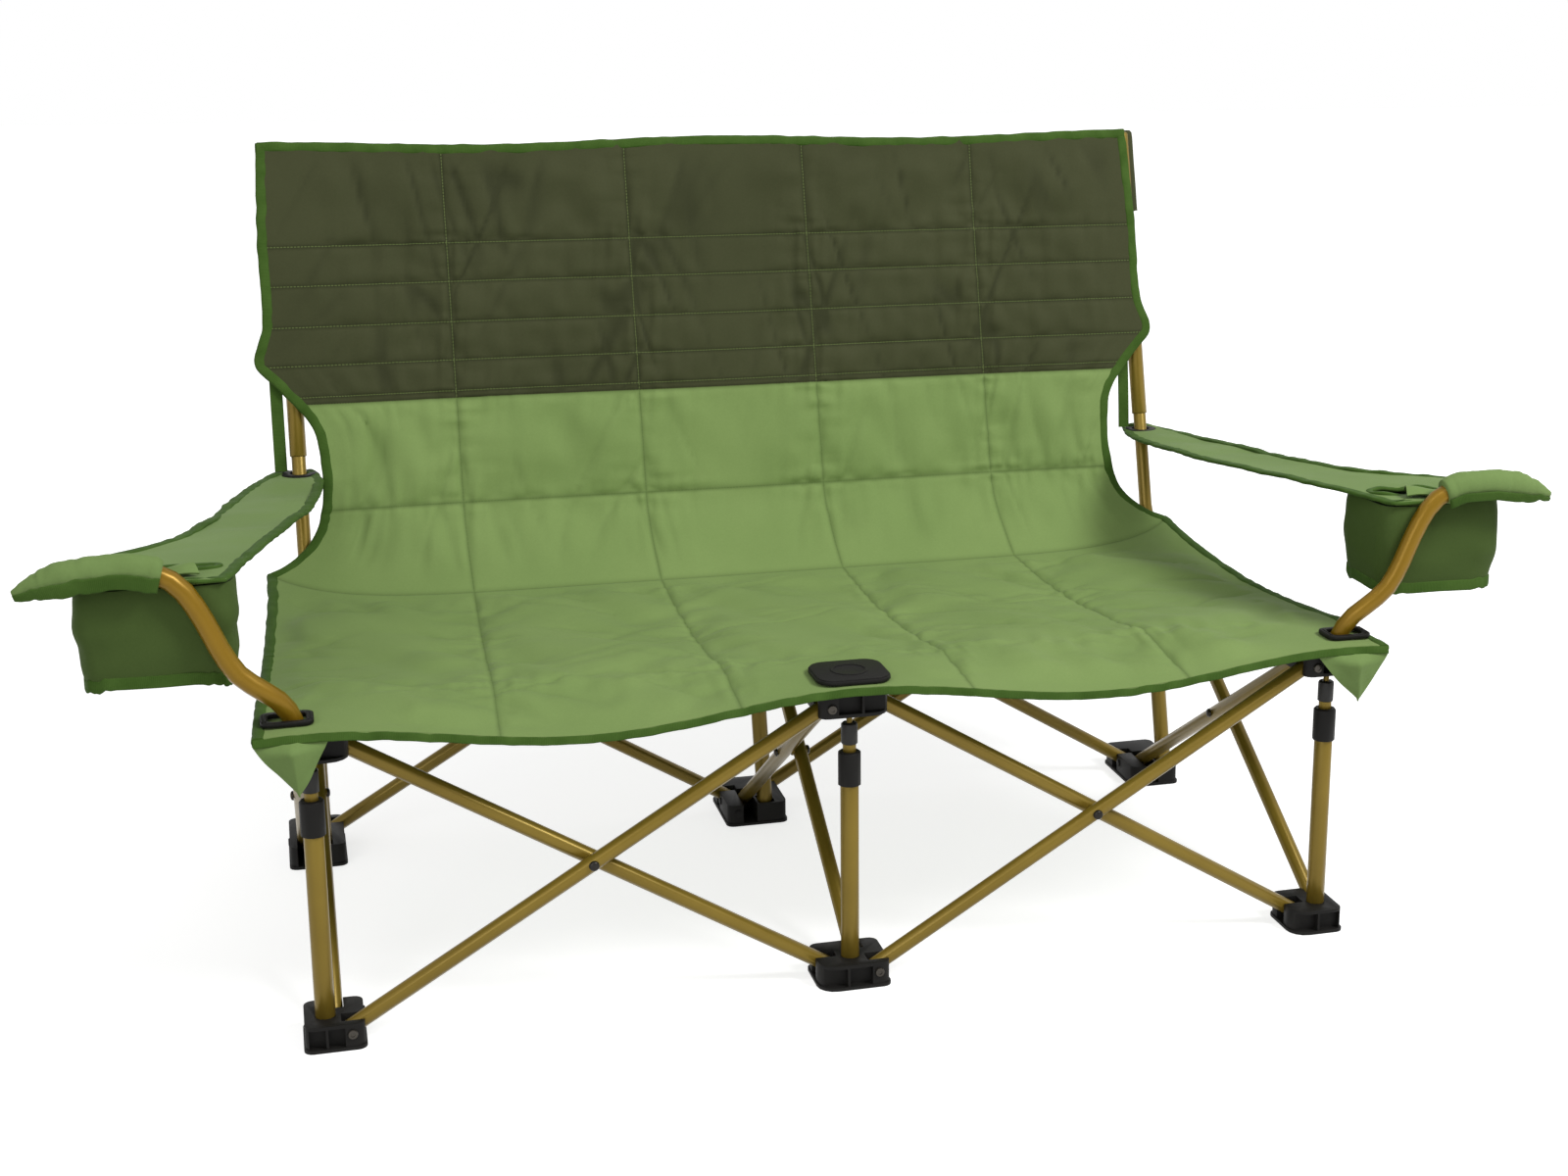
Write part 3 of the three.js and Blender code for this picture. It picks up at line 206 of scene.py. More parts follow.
def rumple(x, y, size, seed):
    """A smooth random surface near -1..1: sines of about one wavelength in random directions."""
    draw = np.random.default_rng(seed)
    angles = draw.uniform(0, math.pi, WAVES)
    lengths = size * draw.uniform(0.6, 1.6, WAVES)
    phases = draw.uniform(0, 2 * math.pi, WAVES)
    total = 0.0
    for angle, length, phase in zip(angles, lengths, phases):
        along = x * math.cos(angle) + y * math.sin(angle)
        total = total + np.sin(2 * math.pi * along / length + phase)
    return total / math.sqrt(WAVES)


# Meshes
def linked(name, data):
    """A new object in the scene."""
    made = bpy.data.objects.new(name, data)
    bpy.context.scene.collection.objects.link(made)
    return made


def mesh_piece(name, points, faces, material, uv=None, marks=None, sharp=None, closed=False):
    """An object at the origin from points in millimetres. Edges over an angle in degrees stay sharp,
    and a closed mesh's faces are turned to point out."""
    mesh = bpy.data.meshes.new(name)
    mesh.from_pydata(place(np.reshape(points, (-1, 3))).tolist(), [], [list(face) for face in faces])
    mesh.polygons.foreach_set("use_smooth", np.ones(len(mesh.polygons), bool))
    if uv is not None:
        corners = np.zeros(len(mesh.loops), np.int32)
        mesh.loops.foreach_get("vertex_index", corners)
        layer = mesh.uv_layers.new(name="run")
        layer.data.foreach_set("uv", (np.reshape(uv, (-1, 2))[corners] * MM).ravel())
    for label, values in (marks or {}).items():
        mark = mesh.attributes.new(label, "FLOAT", "POINT")
        mark.data.foreach_set("value", np.asarray(values, float).ravel())
    mesh.materials.append(material)
    mesh.update()
    if sharp is not None:
        mesh.set_sharp_from_angle(angle=math.radians(sharp))
    if closed:
        shape = bmesh.new()
        shape.from_mesh(mesh)
        bmesh.ops.recalc_face_normals(shape, faces=shape.faces)
        shape.to_mesh(mesh)
        shape.free()
    return linked(name, mesh)


def worn(piece, body):
    """A piece that rides on a body."""
    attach(piece, body)
    return piece


def grid_faces(rows, columns, start=0, wrap=False, flip=False):
    """Quads of a grid of points, row by row; wrap joins the last column to the first."""
    across = columns if wrap else columns - 1
    j, i = np.meshgrid(np.arange(rows - 1), np.arange(across), indexing="ij")
    left, right = j * columns + i, j * columns + (i + 1) % columns
    quads = np.stack([left, right, right + columns, left + columns], -1).reshape(-1, 4) + start
    return quads[:, ::-1] if flip else quads


def skin_faces(rows, count, start=0):
    """Faces through rings of points, with a flat one over the first ring and over the last."""
    last = start + (rows - 1) * count
    ends = [list(range(start, start + count))[::-1], list(range(last, last + count))]
    return grid_faces(rows, count, start, wrap=True).tolist() + ends


def closed_skin(name, points, material, uv=None, sharp=60):
    """A closed mesh through rings of points."""
    faces = skin_faces(*points.shape[:2])
    return mesh_piece(name, points, faces, material, uv, sharp=sharp, closed=True)


def pairs(first, second):
    """Two coordinates, of a point or of a whole grid, side by side."""
    return np.stack(np.broadcast_arrays(first, second), -1)


def normals_of(middle):
    """Unit normals of a grid of points: across its columns crossed with along its rows."""
    return unit(np.cross(np.gradient(middle, axis=1), np.gradient(middle, axis=0)))


def two_faced(name, middle, upper, lower, material, uv, marks=None):
    """A sheet with two faces, each the middle grid moved along its normals, and walls round the rim."""
    rows, columns = middle.shape[:2]
    normals = normals_of(middle)
    points = np.stack([middle + normals * upper[..., None], middle - normals * lower[..., None]])
    layer = rows * columns
    place_in = np.arange(layer).reshape(rows, columns)
    rim = np.concatenate([place_in[0], place_in[1:, -1], place_in[-1, -2::-1], place_in[-2:0:-1, 0]])
    after = np.roll(rim, -1)
    walls = np.stack([rim + layer, after + layer, after, rim], -1)
    under = grid_faces(rows, columns, layer, flip=True)
    faces = np.concatenate([grid_faces(rows, columns), under, walls])
    doubled = {label: np.tile(np.ravel(values), 2) for label, values in (marks or {}).items()}
    return mesh_piece(name, points, faces, material, np.stack([uv, uv]), doubled, sharp=70)


def plain_cloth(name, middle, half, run):
    """A sheet of plain sage cloth, of even or changing half thickness."""
    half = np.broadcast_to(half, middle.shape[:2])
    return two_faced(name, middle, half, half, SAGE_PLAIN, run)


def circle(count):
    """Points evenly round a circle of radius 1."""
    turn = np.linspace(0, 2 * math.pi, count, endpoint=False)
    return np.stack([np.cos(turn), np.sin(turn)], -1)


def rounded_profile(width, thickness, count=12, power=3.0):
    """A superellipse: a flat band with round edges."""
    cos, sin = circle(count).T
    x = np.sign(cos) * np.abs(cos) ** (2 / power) * width / 2
    y = np.sign(sin) * np.abs(sin) ** (2 / power) * thickness / 2
    return np.stack([x, y], -1)


def run_along(path):
    """How far along a path each of its points is."""
    return np.concatenate([[0], np.cumsum(np.linalg.norm(np.diff(path, axis=0), axis=1))])


def tape(name, path, side, out, profile, body, closed=False):
    """Green tape that rides on a body: a closed profile carried along a path, with its x along side and
    its y along out at each point."""
    points = path[:, None] + side[:, None] * profile[None, :, :1] + out[:, None] * profile[None, :, 1:]
    rows, count = points.shape[:2]
    round_way = np.linspace(0, 1, count, endpoint=False) * TAPE_WIDTH * 2
    faces = skin_faces(rows, count)
    if closed:
        last = (rows - 1) * count
        faces[-2:] = [[last + i, last + (i + 1) % count, (i + 1) % count, i] for i in range(count)]
    uv = pairs(round_way[None, :], run_along(path)[:, None])
    return worn(mesh_piece(name, points, faces, TAPE, uv, sharp=70, closed=True), body)


TAPE_LAP = 1.5
TAPE_WANDER = 0.35
TAPE_RIPPLE = 26.0


def tape_round(name, path, normals, inner_way, half_cloth, body, closed=False, width=TAPE_WIDTH):
    """Binding tape over an edge: a flat band that lies half on the cloth, mitred where the path turns."""
    tangents = unit(np.diff(path, axis=0))
    before = np.concatenate([tangents[:1], tangents])
    after = np.concatenate([tangents, tangents[-1:]])
    if closed:
        before[0] = after[-1] = unit(path[0] - path[-1])
    ins = [np.cross(normals, t) for t in (before, after)]
    ins = [unit(way) * np.sign(np.sum(way * inner_way, -1, keepdims=True)) for way in ins]
    mean = unit(ins[0] + ins[1])
    mitre = 1 / np.clip(np.sum(mean * ins[0], -1, keepdims=True), 0.5, 1)
    ripple = rumple(run_along(path), 0.0, TAPE_RIPPLE, sum(map(ord, name)))[:, None]
    aside = mean * mitre * (width / 2 - TAPE_LAP + TAPE_WANDER * ripple)
    centre = path + aside + normals * TAPE_WANDER * np.roll(ripple, 7, 0)
    profile = rounded_profile(width, 2 * half_cloth + TAPE_THICKNESS)
    return tape(name, centre, mean * mitre, normals, profile, body, closed)


BUTTON_POINTS = 20


def buttons(name, spots, ways, profile, material, body):
    """Small turned parts in one piece, one at each spot with its axis along a way: a profile of (radius,
    height) turned about the axis."""
    ring, level = circle(BUTTON_POINTS), np.ones(BUTTON_POINTS)
    shape = np.concatenate([np.c_[radius * ring, height * level] for radius, height in profile])
    points, faces = [], []
    for number, (spot, way) in enumerate(zip(spots, ways)):
        axis = unit(np.asarray(way, float))
        aside = unit(np.cross(axis, (0.3, 0.2, 1.0)))
        points.append(shape @ np.stack([aside, np.cross(axis, aside), axis]) + np.asarray(spot, float))
        faces += skin_faces(len(profile), BUTTON_POINTS, number * len(shape))
    piece = mesh_piece(name, np.concatenate(points), faces, material, sharp=50, closed=True)
    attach(piece, body)


def lines_through(seams, spacing, scale):
    """Places from the first seam to the last, about spacing apart, with a line on every seam."""
    runs = []
    for low, high in zip(seams[:-1], seams[1:]):
        count = max(2, round((high - low) * scale / spacing))
        runs.append(np.linspace(low, high, count, endpoint=False))
    return np.concatenate([*runs, [seams[-1]]])


def seam_lines(seams, spacing, scale):
    """Places from the first seam to the last, closer together beside each seam than between two."""
    runs = []
    for low, high in zip(seams[:-1], seams[1:]):
        part = np.linspace(0, 1, max(4, round((high - low) * scale / spacing)), endpoint=False)
        runs.append(lerp(low, high, part - 0.55 * np.sin(2 * math.pi * part) / (2 * math.pi)))
    return np.concatenate([*runs, [seams[-1]]])


def distance(at, seams):
    """How far each place is from the nearest seam."""
    return np.abs(at[..., None] - np.array(seams)).min(-1)


# Cloth blown up between its seams
SIM_SPACING = 9.0
SIM_FRAMES = 20
SIM_GROWTH = 0.012
SIM_LIMIT = 9.0
SIM_CLOTH = {
    "quality": 5, "mass": 0.2, "tension_stiffness": 15, "compression_stiffness": 15, "shear_stiffness": 8,
    "bending_stiffness": 1, "use_pressure": True, "uniform_pressure_force": 1,
    "vertex_group_mass": "held", "shrink_min": -SIM_GROWTH,
}


def puffed(width, length, columns, rows, seed):
    """Lines and relief of quilted cloth. A flat grid, cut 1.2% too large and held along its seams and
    rim, is blown up by the cloth solver; its heights are then smoothed and capped."""
    across = lines_through(columns, SIM_SPACING, width)
    along = lines_through(rows, SIM_SPACING, length)
    x, y = np.meshgrid(across * width, along * length)
    on_seam = (distance(across, columns) < 1e-6)[None, :] | (distance(along, rows) < 1e-6)[:, None]
    start = np.where(on_seam, 0.0, 0.8 + 0.4 * rumple(x, y, 60.0, seed))
    mesh = bpy.data.meshes.new("cloth")
    flat = np.stack([x, y, start], -1).reshape(-1, 3) * MM
    mesh.from_pydata(flat.tolist(), [], grid_faces(len(along), len(across)).tolist())
    cloth = linked("cloth", mesh)
    cloth.vertex_groups.new(name="held").add(np.flatnonzero(on_seam.ravel()).tolist(), 1.0, "REPLACE")
    solver = cloth.modifiers.new("cloth", "CLOTH")
    for setting, value in SIM_CLOTH.items():
        setattr(solver.settings, setting, value)
    solver.settings.effector_weights.gravity = 0
    solver.collision_settings.use_collision = False
    solver.collision_settings.use_self_collision = False
    solver.point_cache.frame_start = 1
    solver.point_cache.frame_end = SIM_FRAMES + 5
    for step in range(1, SIM_FRAMES + 1):
        bpy.context.scene.frame_set(step)
    apply_modifiers(cloth)
    found = np.zeros(len(cloth.data.vertices) * 3)
    cloth.data.vertices.foreach_get("co", found)
    bpy.data.objects.remove(cloth)
    bpy.context.scene.frame_set(1)
    relief = found.reshape(*x.shape, 3)[..., 2] / MM
    soft = relief.copy()
    beside = relief[:-2, 1:-1] + relief[2:, 1:-1] + relief[1:-1, :-2] + relief[1:-1, 2:]
    soft[1:-1, 1:-1] = (4 * relief[1:-1, 1:-1] + beside) / 8
    soft = np.where(on_seam, relief, soft)
    return across, along, SIM_LIMIT * np.tanh(soft / SIM_LIMIT)


def relief_at(puff, across, along):
    """The relief on a finer grid, cubic along its rows and then its columns."""
    lines_x, lines_y, heights = puff
    return smooth_through(lines_x, smooth_through(lines_y, heights, along).T, across).T


def apply_modifiers(piece):
    """Replaces a piece's mesh by the result of its modifiers."""
    seen = piece.evaluated_get(bpy.context.evaluated_depsgraph_get())
    mesh = bpy.data.meshes.new_from_object(seen)
    piece.modifiers.clear()
    piece.data = mesh


# Finishes
def tint(red, green, blue):
    """A screen colour, 0 to 255, as the linear colour that a shader takes."""
    parts = np.array([red, green, blue]) / 255
    linear = np.where(parts <= 0.04045, parts / 12.92, ((parts + 0.055) / 1.055) ** 2.4)
    return (*linear.tolist(), 1.0)


class Value:
    """A number that changes over a surface: a socket with arithmetic, each step a Math node."""

    def __init__(self, tree, socket):
        self.tree = tree
        self.socket = socket

    def math(self, operation, *others):
        return self.tree.math(operation, self, *others)

    def __rsub__(self, other):
        return self.tree.math("SUBTRACT", other, self)

    def clamp(self):
        return self.math("MAXIMUM", 0.0).math("MINIMUM", 1.0)


def step_of(operation):
    """A method that takes a value and another number through a Math node."""
    return lambda value, other: value.math(operation, other)


STEPS = {"add": "ADD", "sub": "SUBTRACT", "mul": "MULTIPLY", "truediv": "DIVIDE"}
for step, operation in {**STEPS, "lt": "LESS_THAN", "gt": "GREATER_THAN"}.items():
    setattr(Value, f"__{step}__", step_of(operation))


class Tree:
    """The nodes of a material or a world, under construction."""

    def __init__(self, owner, output):
        owner.use_nodes = True
        self.nodes, self.links = owner.node_tree.nodes, owner.node_tree.links
        self.nodes.clear()
        self.surface = self.nodes.new(output).inputs["Surface"]

    def feed(self, socket, value):
        if isinstance(value, Value):
            self.links.new(value.socket, socket)
        else:
            socket.default_value = value

    def node(self, kind, settings=None, inputs=None, output=0):
        made = self.nodes.new(kind)
        for setting, value in (settings or {}).items():
            setattr(made, setting, value)
        for socket, value in (inputs or {}).items():
            self.feed(made.inputs[socket], value)
        return Value(self, made.outputs[output])

    def math(self, operation, *values):
        return self.node("ShaderNodeMath", {"operation": operation}, dict(enumerate(values)))

    def parts(self, vector):
        """The three numbers of a vector."""
        split = self.node("ShaderNodeSeparateXYZ", inputs={0: vector})
        return [Value(self, socket) for socket in split.socket.node.outputs]

    def place(self):
        return self.node("ShaderNodeTexCoord", output="Object")

    def white_rays(self):
        """1 for rays from the camera, in gloss and through glass, which see plain white, else 0."""
        seen = self.node("ShaderNodeLightPath", output="Is Camera Ray")
        outputs = seen.socket.node.outputs
        for kind in ("Is Glossy Ray", "Is Transmission Ray"):
            seen = seen.math("MAXIMUM", Value(self, outputs[kind]))
        return seen


class Finish(Tree):
    """A material under construction: a Principled shader and the nodes that feed it."""

    def __init__(self, name, **sockets):
        self.material = bpy.data.materials.new(name)
        super().__init__(self.material, "ShaderNodeOutputMaterial")
        shader = self.node("ShaderNodeBsdfPrincipled")
        self.feed(self.surface, shader)
        self.inputs = shader.socket.node.inputs
        for socket, value in sockets.items():
            self.set(socket.replace("_", " "), value)

    def set(self, socket, value):
        self.feed(self.inputs[socket], value)

    def run(self):
        """The piece's own run of cloth or tape, in metres: (across, along)."""
        return self.parts(self.node("ShaderNodeUVMap", {"uv_map": "run"}))[:2]

    def mark(self, label):
        return self.node("ShaderNodeAttribute", {"attribute_name": label}, output="Fac")

    def noise(self, scale, detail=2.0):
        inputs = {"Vector": self.place(), "Scale": scale, "Detail": detail}
        return self.node("ShaderNodeTexNoise", inputs=inputs)

    def blend(self, part, first, second):
        """A colour between two others."""
        inputs = {0: part, 6: first, 7: second}
        return self.node("ShaderNodeMix", {"data_type": "RGBA"}, inputs, output=2)

    def colour(self, value):
        self.set("Base Color", value)

    def rough(self, value):
        self.set("Roughness", value)

    def bump(self, height, strength, distance):
        inputs = {"Height": height, "Strength": strength, "Distance": distance}
        self.set("Normal", self.node("ShaderNodeBump", inputs=inputs))


THREAD = 0.0011
STITCH_PITCH = 0.0038
STITCH_SHARE = 0.7
STITCH_HALF = 0.00055
# Painted shade in woven cloth: how far it reaches from a seam, and how dark it is as a share of the deep
# colour
SEAM_SHADE_REACH = 0.0055
SHADE = 0.38
RIB_PITCH = 0.0016


def waves(run, pitch):
    """A sine of a pitch along a run."""
    return (run * (2 * math.pi / pitch)).math("SINE")


def dashes(run):
    """1 on each stitch along a run, and 0 between two."""
    return (run / STITCH_PITCH).math("FRACT") < STITCH_SHARE


def woven(name, pale, deep, thread=None, painted_seam_shade_share=0.5, thread_share=1.0, painted_fold_shade_share=0.1):
    """Plain-woven polyester: two crossed threads and soft mottling, and where a thread's colour is given,
    painted shade beside the seams and in the creases, and a stitch line at seams."""
    finish = Finish(name, Specular_IOR_Level=0.06, Sheen_Weight=0.05, Sheen_Roughness=0.4)
    across, along = finish.run()
    weave = (waves(across, THREAD) * waves(along, THREAD)) * 0.5 + 0.5
    mottle = finish.noise(7.0, 4.0)
    fleck = finish.noise(420.0, 1.0)
    colour = finish.blend((mottle * 0.8 + fleck * 0.3 - 0.05).clamp(), deep, pale)
    if thread:
        column, row = finish.mark("seam_column"), finish.mark("seam_row")
        # Painted shade: the colour darkens towards each seam, and in each crease by its depth, towards a
        # darkened deep colour
        painted_seam_shade = (1.0 - column.math("MINIMUM", row) / SEAM_SHADE_REACH).clamp()
        painted_fold_shade = finish.mark("painted_fold_shade_depth").clamp() * painted_fold_shade_share
        shade = (*(part * SHADE for part in deep[:3]), 1.0)
        colour = finish.blend((painted_seam_shade * painted_seam_shade * painted_seam_shade_share).math("MAXIMUM", painted_fold_shade), colour, shade)
        down, level = (column < STITCH_HALF) * dashes(along), (row < STITCH_HALF) * dashes(across)
        colour = finish.blend(down.math("MAXIMUM", level) * thread_share, colour, thread)
    finish.colour(colour)
    finish.rough(0.74 - mottle * 0.14)
    finish.bump(weave * 0.5 + fleck * 0.5, 0.3, 0.0004)
    return finish.material


def taped(name, pale, deep):
    """Grosgrain tape: fine ribs across its run, uneven where it is gathered."""
    finish = Finish(name, Specular_IOR_Level=0.06, Sheen_Weight=0.04, Sheen_Roughness=0.4)
    ribs = waves(finish.run()[1], RIB_PITCH) * 0.5 + 0.5
    mottle = finish.noise(45.0, 3.0)
    finish.colour(finish.blend((mottle * 1.1 + ribs * 0.15 - 0.15).clamp(), deep, pale))
    finish.rough(0.8 - mottle * 0.2)
    finish.bump(ribs * 0.4 + mottle, 0.5, 0.0008)
    return finish.material


def coated_tube(name, pale, deep, metal=0.3):
    """Satin coating on metal: clouds of wear and a fine grit."""
    finish = Finish(name, Metallic=metal, Specular_IOR_Level=0.25)
    cloud = finish.noise(14.0, 3.0)
    grit = finish.noise(900.0, 1.0)
    finish.colour(finish.blend(cloud, deep, pale))
    finish.rough(cloud * 0.12 + grit * 0.06 + 0.22)
    finish.bump(grit, 0.08, 0.0002)
    return finish.material


def moulded(name, pale, deep):
    """Glass-filled nylon: near black, fine spark-eroded grain, slightly rubbed."""
    finish = Finish(name, Specular_IOR_Level=0.13)
    rubbed = finish.noise(40.0, 3.0)
    finish.colour(finish.blend(rubbed, deep, pale))
    finish.rough(rubbed * 0.2 + 0.42)
    finish.bump(finish.noise(1500.0, 2.0), 0.25, 0.0003)
    return finish.material


def collared_tube(name, pale, deep, plastic, height):
    """The telescoping tube: coated below, with its moulded collar above a height in metres."""
    finish = Finish(name, Specular_IOR_Level=0.3)
    collar = finish.parts(finish.place())[2] > height
    cloud = finish.noise(14.0, 3.0)
    finish.colour(finish.blend(collar, finish.blend(cloud, deep, pale), plastic))
    finish.set("Metallic", (1.0 - collar) * 0.4)
    finish.rough(cloud * 0.14 + collar * 0.12 + 0.3)
    return finish.material


BRONZES = tint(138, 116, 44), tint(114, 94, 30)
DARK_GREENS = tint(73, 76, 51), tint(58, 61, 39)
COLLAR_FOOT = 0.2529
# Cloths with a thread colour carry painted shade at their seams and creases, the dark cloth more of it
SAGE = woven("sage_cloth", tint(133, 155, 94), tint(111, 135, 77), tint(88, 112, 58), thread_share=0.5)
DARK = woven("dark_cloth", *DARK_GREENS, tint(92, 104, 62), painted_seam_shade_share=0.75, painted_fold_shade_share=0.45)
SAGE_PLAIN = woven("sage_cloth_plain", tint(122, 146, 88), tint(102, 126, 70))
DARK_PLAIN = woven("dark_cloth_plain", *DARK_GREENS)
# The pouch cloth is darker than the sage cloth, partly as painted shade from the armrest above it
POUCH = woven("pouch_cloth_with_painted_shade", tint(78, 97, 50), tint(62, 80, 37))
TAPE = taped("green_tape", tint(76, 104, 45), tint(52, 78, 27))
BRONZE = coated_tube("bronze_coat", *BRONZES)
GOLD = coated_tube("golden_coat", tint(142, 110, 22), tint(122, 92, 12))
BLACK = moulded("black_nylon", tint(32, 31, 29), tint(20, 19, 18))
SCREW_STEEL = coated_tube("screw_steel", tint(84, 80, 74), tint(56, 53, 49), metal=0.8)
DARK_STEEL = coated_tube("blackened_steel", tint(52, 50, 47), tint(34, 32, 30), metal=0.8)
SLIDER = collared_tube("bronze_coat_with_collar", *BRONZES, tint(28, 27, 25), COLLAR_FOOT)


# The hard parts keep their shapes, with their edges eased
def coat_of(name):
    """The material of a CAD node, by what its name says it is."""
    if name.endswith("_post_slider"):
        return SLIDER
    if name.endswith("arm_tube"):
        return GOLD
    if name.endswith(("_bar", "_post", "_post_sleeve", "_post_tube", "_post_rod")):
        return BRONZE
    return BLACK


def dress_hard_parts():
    for name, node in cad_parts.items():
        node.data.materials.clear()
        node.data.materials.append(coat_of(name))
        node.data.polygons.foreach_set("use_smooth", np.ones(len(node.data.polygons), bool))
        weld = node.modifiers.new("weld", "WELD")
        weld.merge_threshold = 1e-5
        ease = node.modifiers.new("ease", "BEVEL")
        ease.width = 0.0005
        ease.segments = 2
        ease.limit_method = "ANGLE"
        ease.angle_limit = math.radians(40)
        ease.harden_normals = True


dress_hard_parts()


# Seat and back
def junction_at(across):
    """Where the seat meets the back: ahead of the hubs, with an ear at each end that reaches to a hub."""
    ear = np.abs(across) ** 9
    return JUNCTION + EAR_REACH * ear, BACK_FOOT + EAR_RISE * ear


def outer_share(across):
    """0 from the middle to the outermost column of stitches, then smoothly up to 1 at the side."""
    outer = np.clip((np.abs(across) - CELL_COLUMNS[-2]) / (1 - CELL_COLUMNS[-2]), 0, 1)
    return outer**2 * (3 - 2 * outer)


def seat_middle(across, y):
    """The seat's middle layer: a sling between the hubs, whose front edge sags between the columns."""
    part = np.clip((y - SEAT_FRONT) / (JUNCTION - SEAT_FRONT), 0, 1)
    x = across * (lerp(*SEAT_HALF_WIDTHS, part) + EAR_ASIDE * part * outer_share(across))
    seam_y, seam_z = junction_at(across)
    between = np.sin(math.pi * x / PITCH) ** 2
    ahead = np.clip((SEAT_CREASE - y) / (SEAT_CREASE - SEAT_FRONT), 0, 1)
    behind = np.clip((y - SEAT_CREASE) / (seam_y - SEAT_CREASE), 0, 1)
    drop = (SEAT_MIDDLE - seam_z) * behind**2
    z = SEAT_MIDDLE - FRONT_SAG * between * ahead - SLING_SAG * np.sin(math.pi * behind) - drop
    return np.stack([x, y, z], -1)


def slope_at(height):
    """Where the rear posts' axes are at a height."""
    return POST_PIVOT[0] + (height - POST_PIVOT[1]) * math.tan(POST_LEAN)


LAYER_HALF = 2.2
LAYER_GAP = 0.3
LAYER_LEAD = (POST_RADIUS + LAYER_GAP + LAYER_HALF) / math.cos(POST_LEAN)
TOP_SAG = 6
TOP_SAG_FROM = 0.7


def back_middle(across, share):
    """The back's middle layer: up from the seam, round on to the posts' slope, and slack between them."""
    seam_y, seam_z = junction_at(across)
    bend = np.clip((BACK_ROWS[1] - share) / BACK_ROWS[1], 0, 1)
    top = np.clip((share - TOP_SAG_FROM) / (1 - TOP_SAG_FROM), 0, 1) ** 2
    top_sag = TOP_SAG * np.sin(math.pi * np.clip(np.abs(across), 0, 1)) ** 2 * top
    height = lerp(BACK_FOOT, BACK_TOP, share) - top_sag + (seam_z - BACK_FOOT) * bend**2
    straight = slope_at(np.maximum(height, lerp(BACK_FOOT, BACK_TOP, BACK_ROWS[1]))) - LAYER_LEAD
    slack = np.sin(math.pi * np.abs(across)) ** 2 * np.sin(math.pi * np.clip(share, 0, 1)) ** 0.7
    y = lerp(straight + BACK_SLACK * slack, seam_y, bend**BACK_TURN)
    heights, widths = np.array(BACK_WIDTHS).T
    outline = BACK_WIDEST * smooth_through(heights, widths, share)
    return np.stack([across * lerp(SEAT_HALF_WIDTHS[1], outline, outer_share(across)), y, height], -1)


QUILT_SPACING = 4.2
CREASE_STRETCH = 0.16
CREASE_WIDTH = 3.6
CREASE_DEPTH = 2.8
CREASE_SIZES = (80.0, 60.0)
GATHER_SIZE = 19.0
GATHER_REACH = 24
GATHER_STRETCH = 0.22
GATHER_DEPTH = 1.8
VALLEY_DEPTH = 1.3
VALLEY_WIDTH = 3.2


def creases(x, y, lie, size, seed):
    """Sharp creases in cloth: narrow valleys along the zero lines of a smooth noise that is drawn out
    along the lie of the creases, which come and go with a second, slower one."""
    along = (x * math.cos(lie) + y * math.sin(lie)) * CREASE_STRETCH
    across = y * math.cos(lie) - x * math.sin(lie)
    line = rumple(along, across, size, seed) * size / (4.0 * CREASE_WIDTH)
    return -np.exp(-(line**2)) * np.clip(rumple(along * 2, across, size * 1.6, seed + 40) * 1.6, 0, 1)


def edge_hold(a, v, rows):
    """0 at the rim of a sheet and 1 a little way in, so that sewn edges stay where they meet."""
    side = np.clip((1 - np.abs(a)) * 22 - 0.45, 0, 1)
    ends = np.clip(np.minimum(v - rows[0], rows[-1] - v) / (0.06 * (rows[-1] - rows[0])) - 0.4, 0, 1)
    return side * ends


def quilt(label, node, middle, a, v, scales, rows, stitched, puff, body, cloth, calm, sides):
    """A quilted sheet: on its front face the blown-up relief, a valley on each seam, gathers square to
    the seams and slow waves; a flatter rear face, and tapes along its sides. Returns its middle layer."""
    seed, halves, lies, bound = cloth["seed"], cloth["halves"], cloth["creases"], cloth["bound"]
    material, slot = (DARK, "dark_fabric") if label == "back_upper" else (SAGE, "sage_fabric")
    width, length = scales
    x, y = a * width, v * length
    column_far = distance(a, CELL_COLUMNS) * width
    row_far, stitch_far = distance(v, rows) * length, distance(v, stitched) * length
    near = np.minimum(column_far, stitch_far)
    hold = edge_hold(a, v, rows) * calm
    relief = relief_at(puff, a[0], v[:, 0]) * calm * lerp(0.2, 1.0, hold)
    gather = rumple(x * GATHER_STRETCH, y, GATHER_SIZE, seed + 2) * np.exp(-column_far / GATHER_REACH)
    crossed = rumple(x, y * GATHER_STRETCH, GATHER_SIZE, seed + 3)
    gather = gather + crossed * np.exp(-row_far / GATHER_REACH)
    valley = VALLEY_DEPTH * np.exp(-((near / VALLEY_WIDTH) ** 2))
    slow = rumple(x, y, 210.0, seed) * 2.6 + rumple(x + 0.5 * y, y * 0.6, 95.0, seed + 1) * 2.4
    between = np.clip(near / 45, 0.15, 1)
    middle = middle + normals_of(middle) * (slow * between * hold)[..., None]
    folds = sum(creases(x, y, lies[k], CREASE_SIZES[k], seed + 7 + k) for k in range(2))
    upper = halves[0] + relief + (GATHER_DEPTH * gather - valley + CREASE_DEPTH * folds) * hold
    lower = halves[1] + 0.15 * np.clip(relief, 0, 4)
    # The seam distances place the stitch lines and the painted shade beside the seams; the fold mark
    # places painted shade in the creases
    marks = {"seam_column": column_far * MM, "seam_row": stitch_far * MM, "painted_fold_shade_depth": -folds * hold}
    upper = np.maximum(upper, 0.6)
    piece = two_faced(f"{label}_quilt", middle, upper, lower, material, pairs(x, y), marks)
    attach(piece, body)
    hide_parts(node)
    gathered(piece)
    for side in sides:
        bind(label, middle, side, body, bound)
    return middle


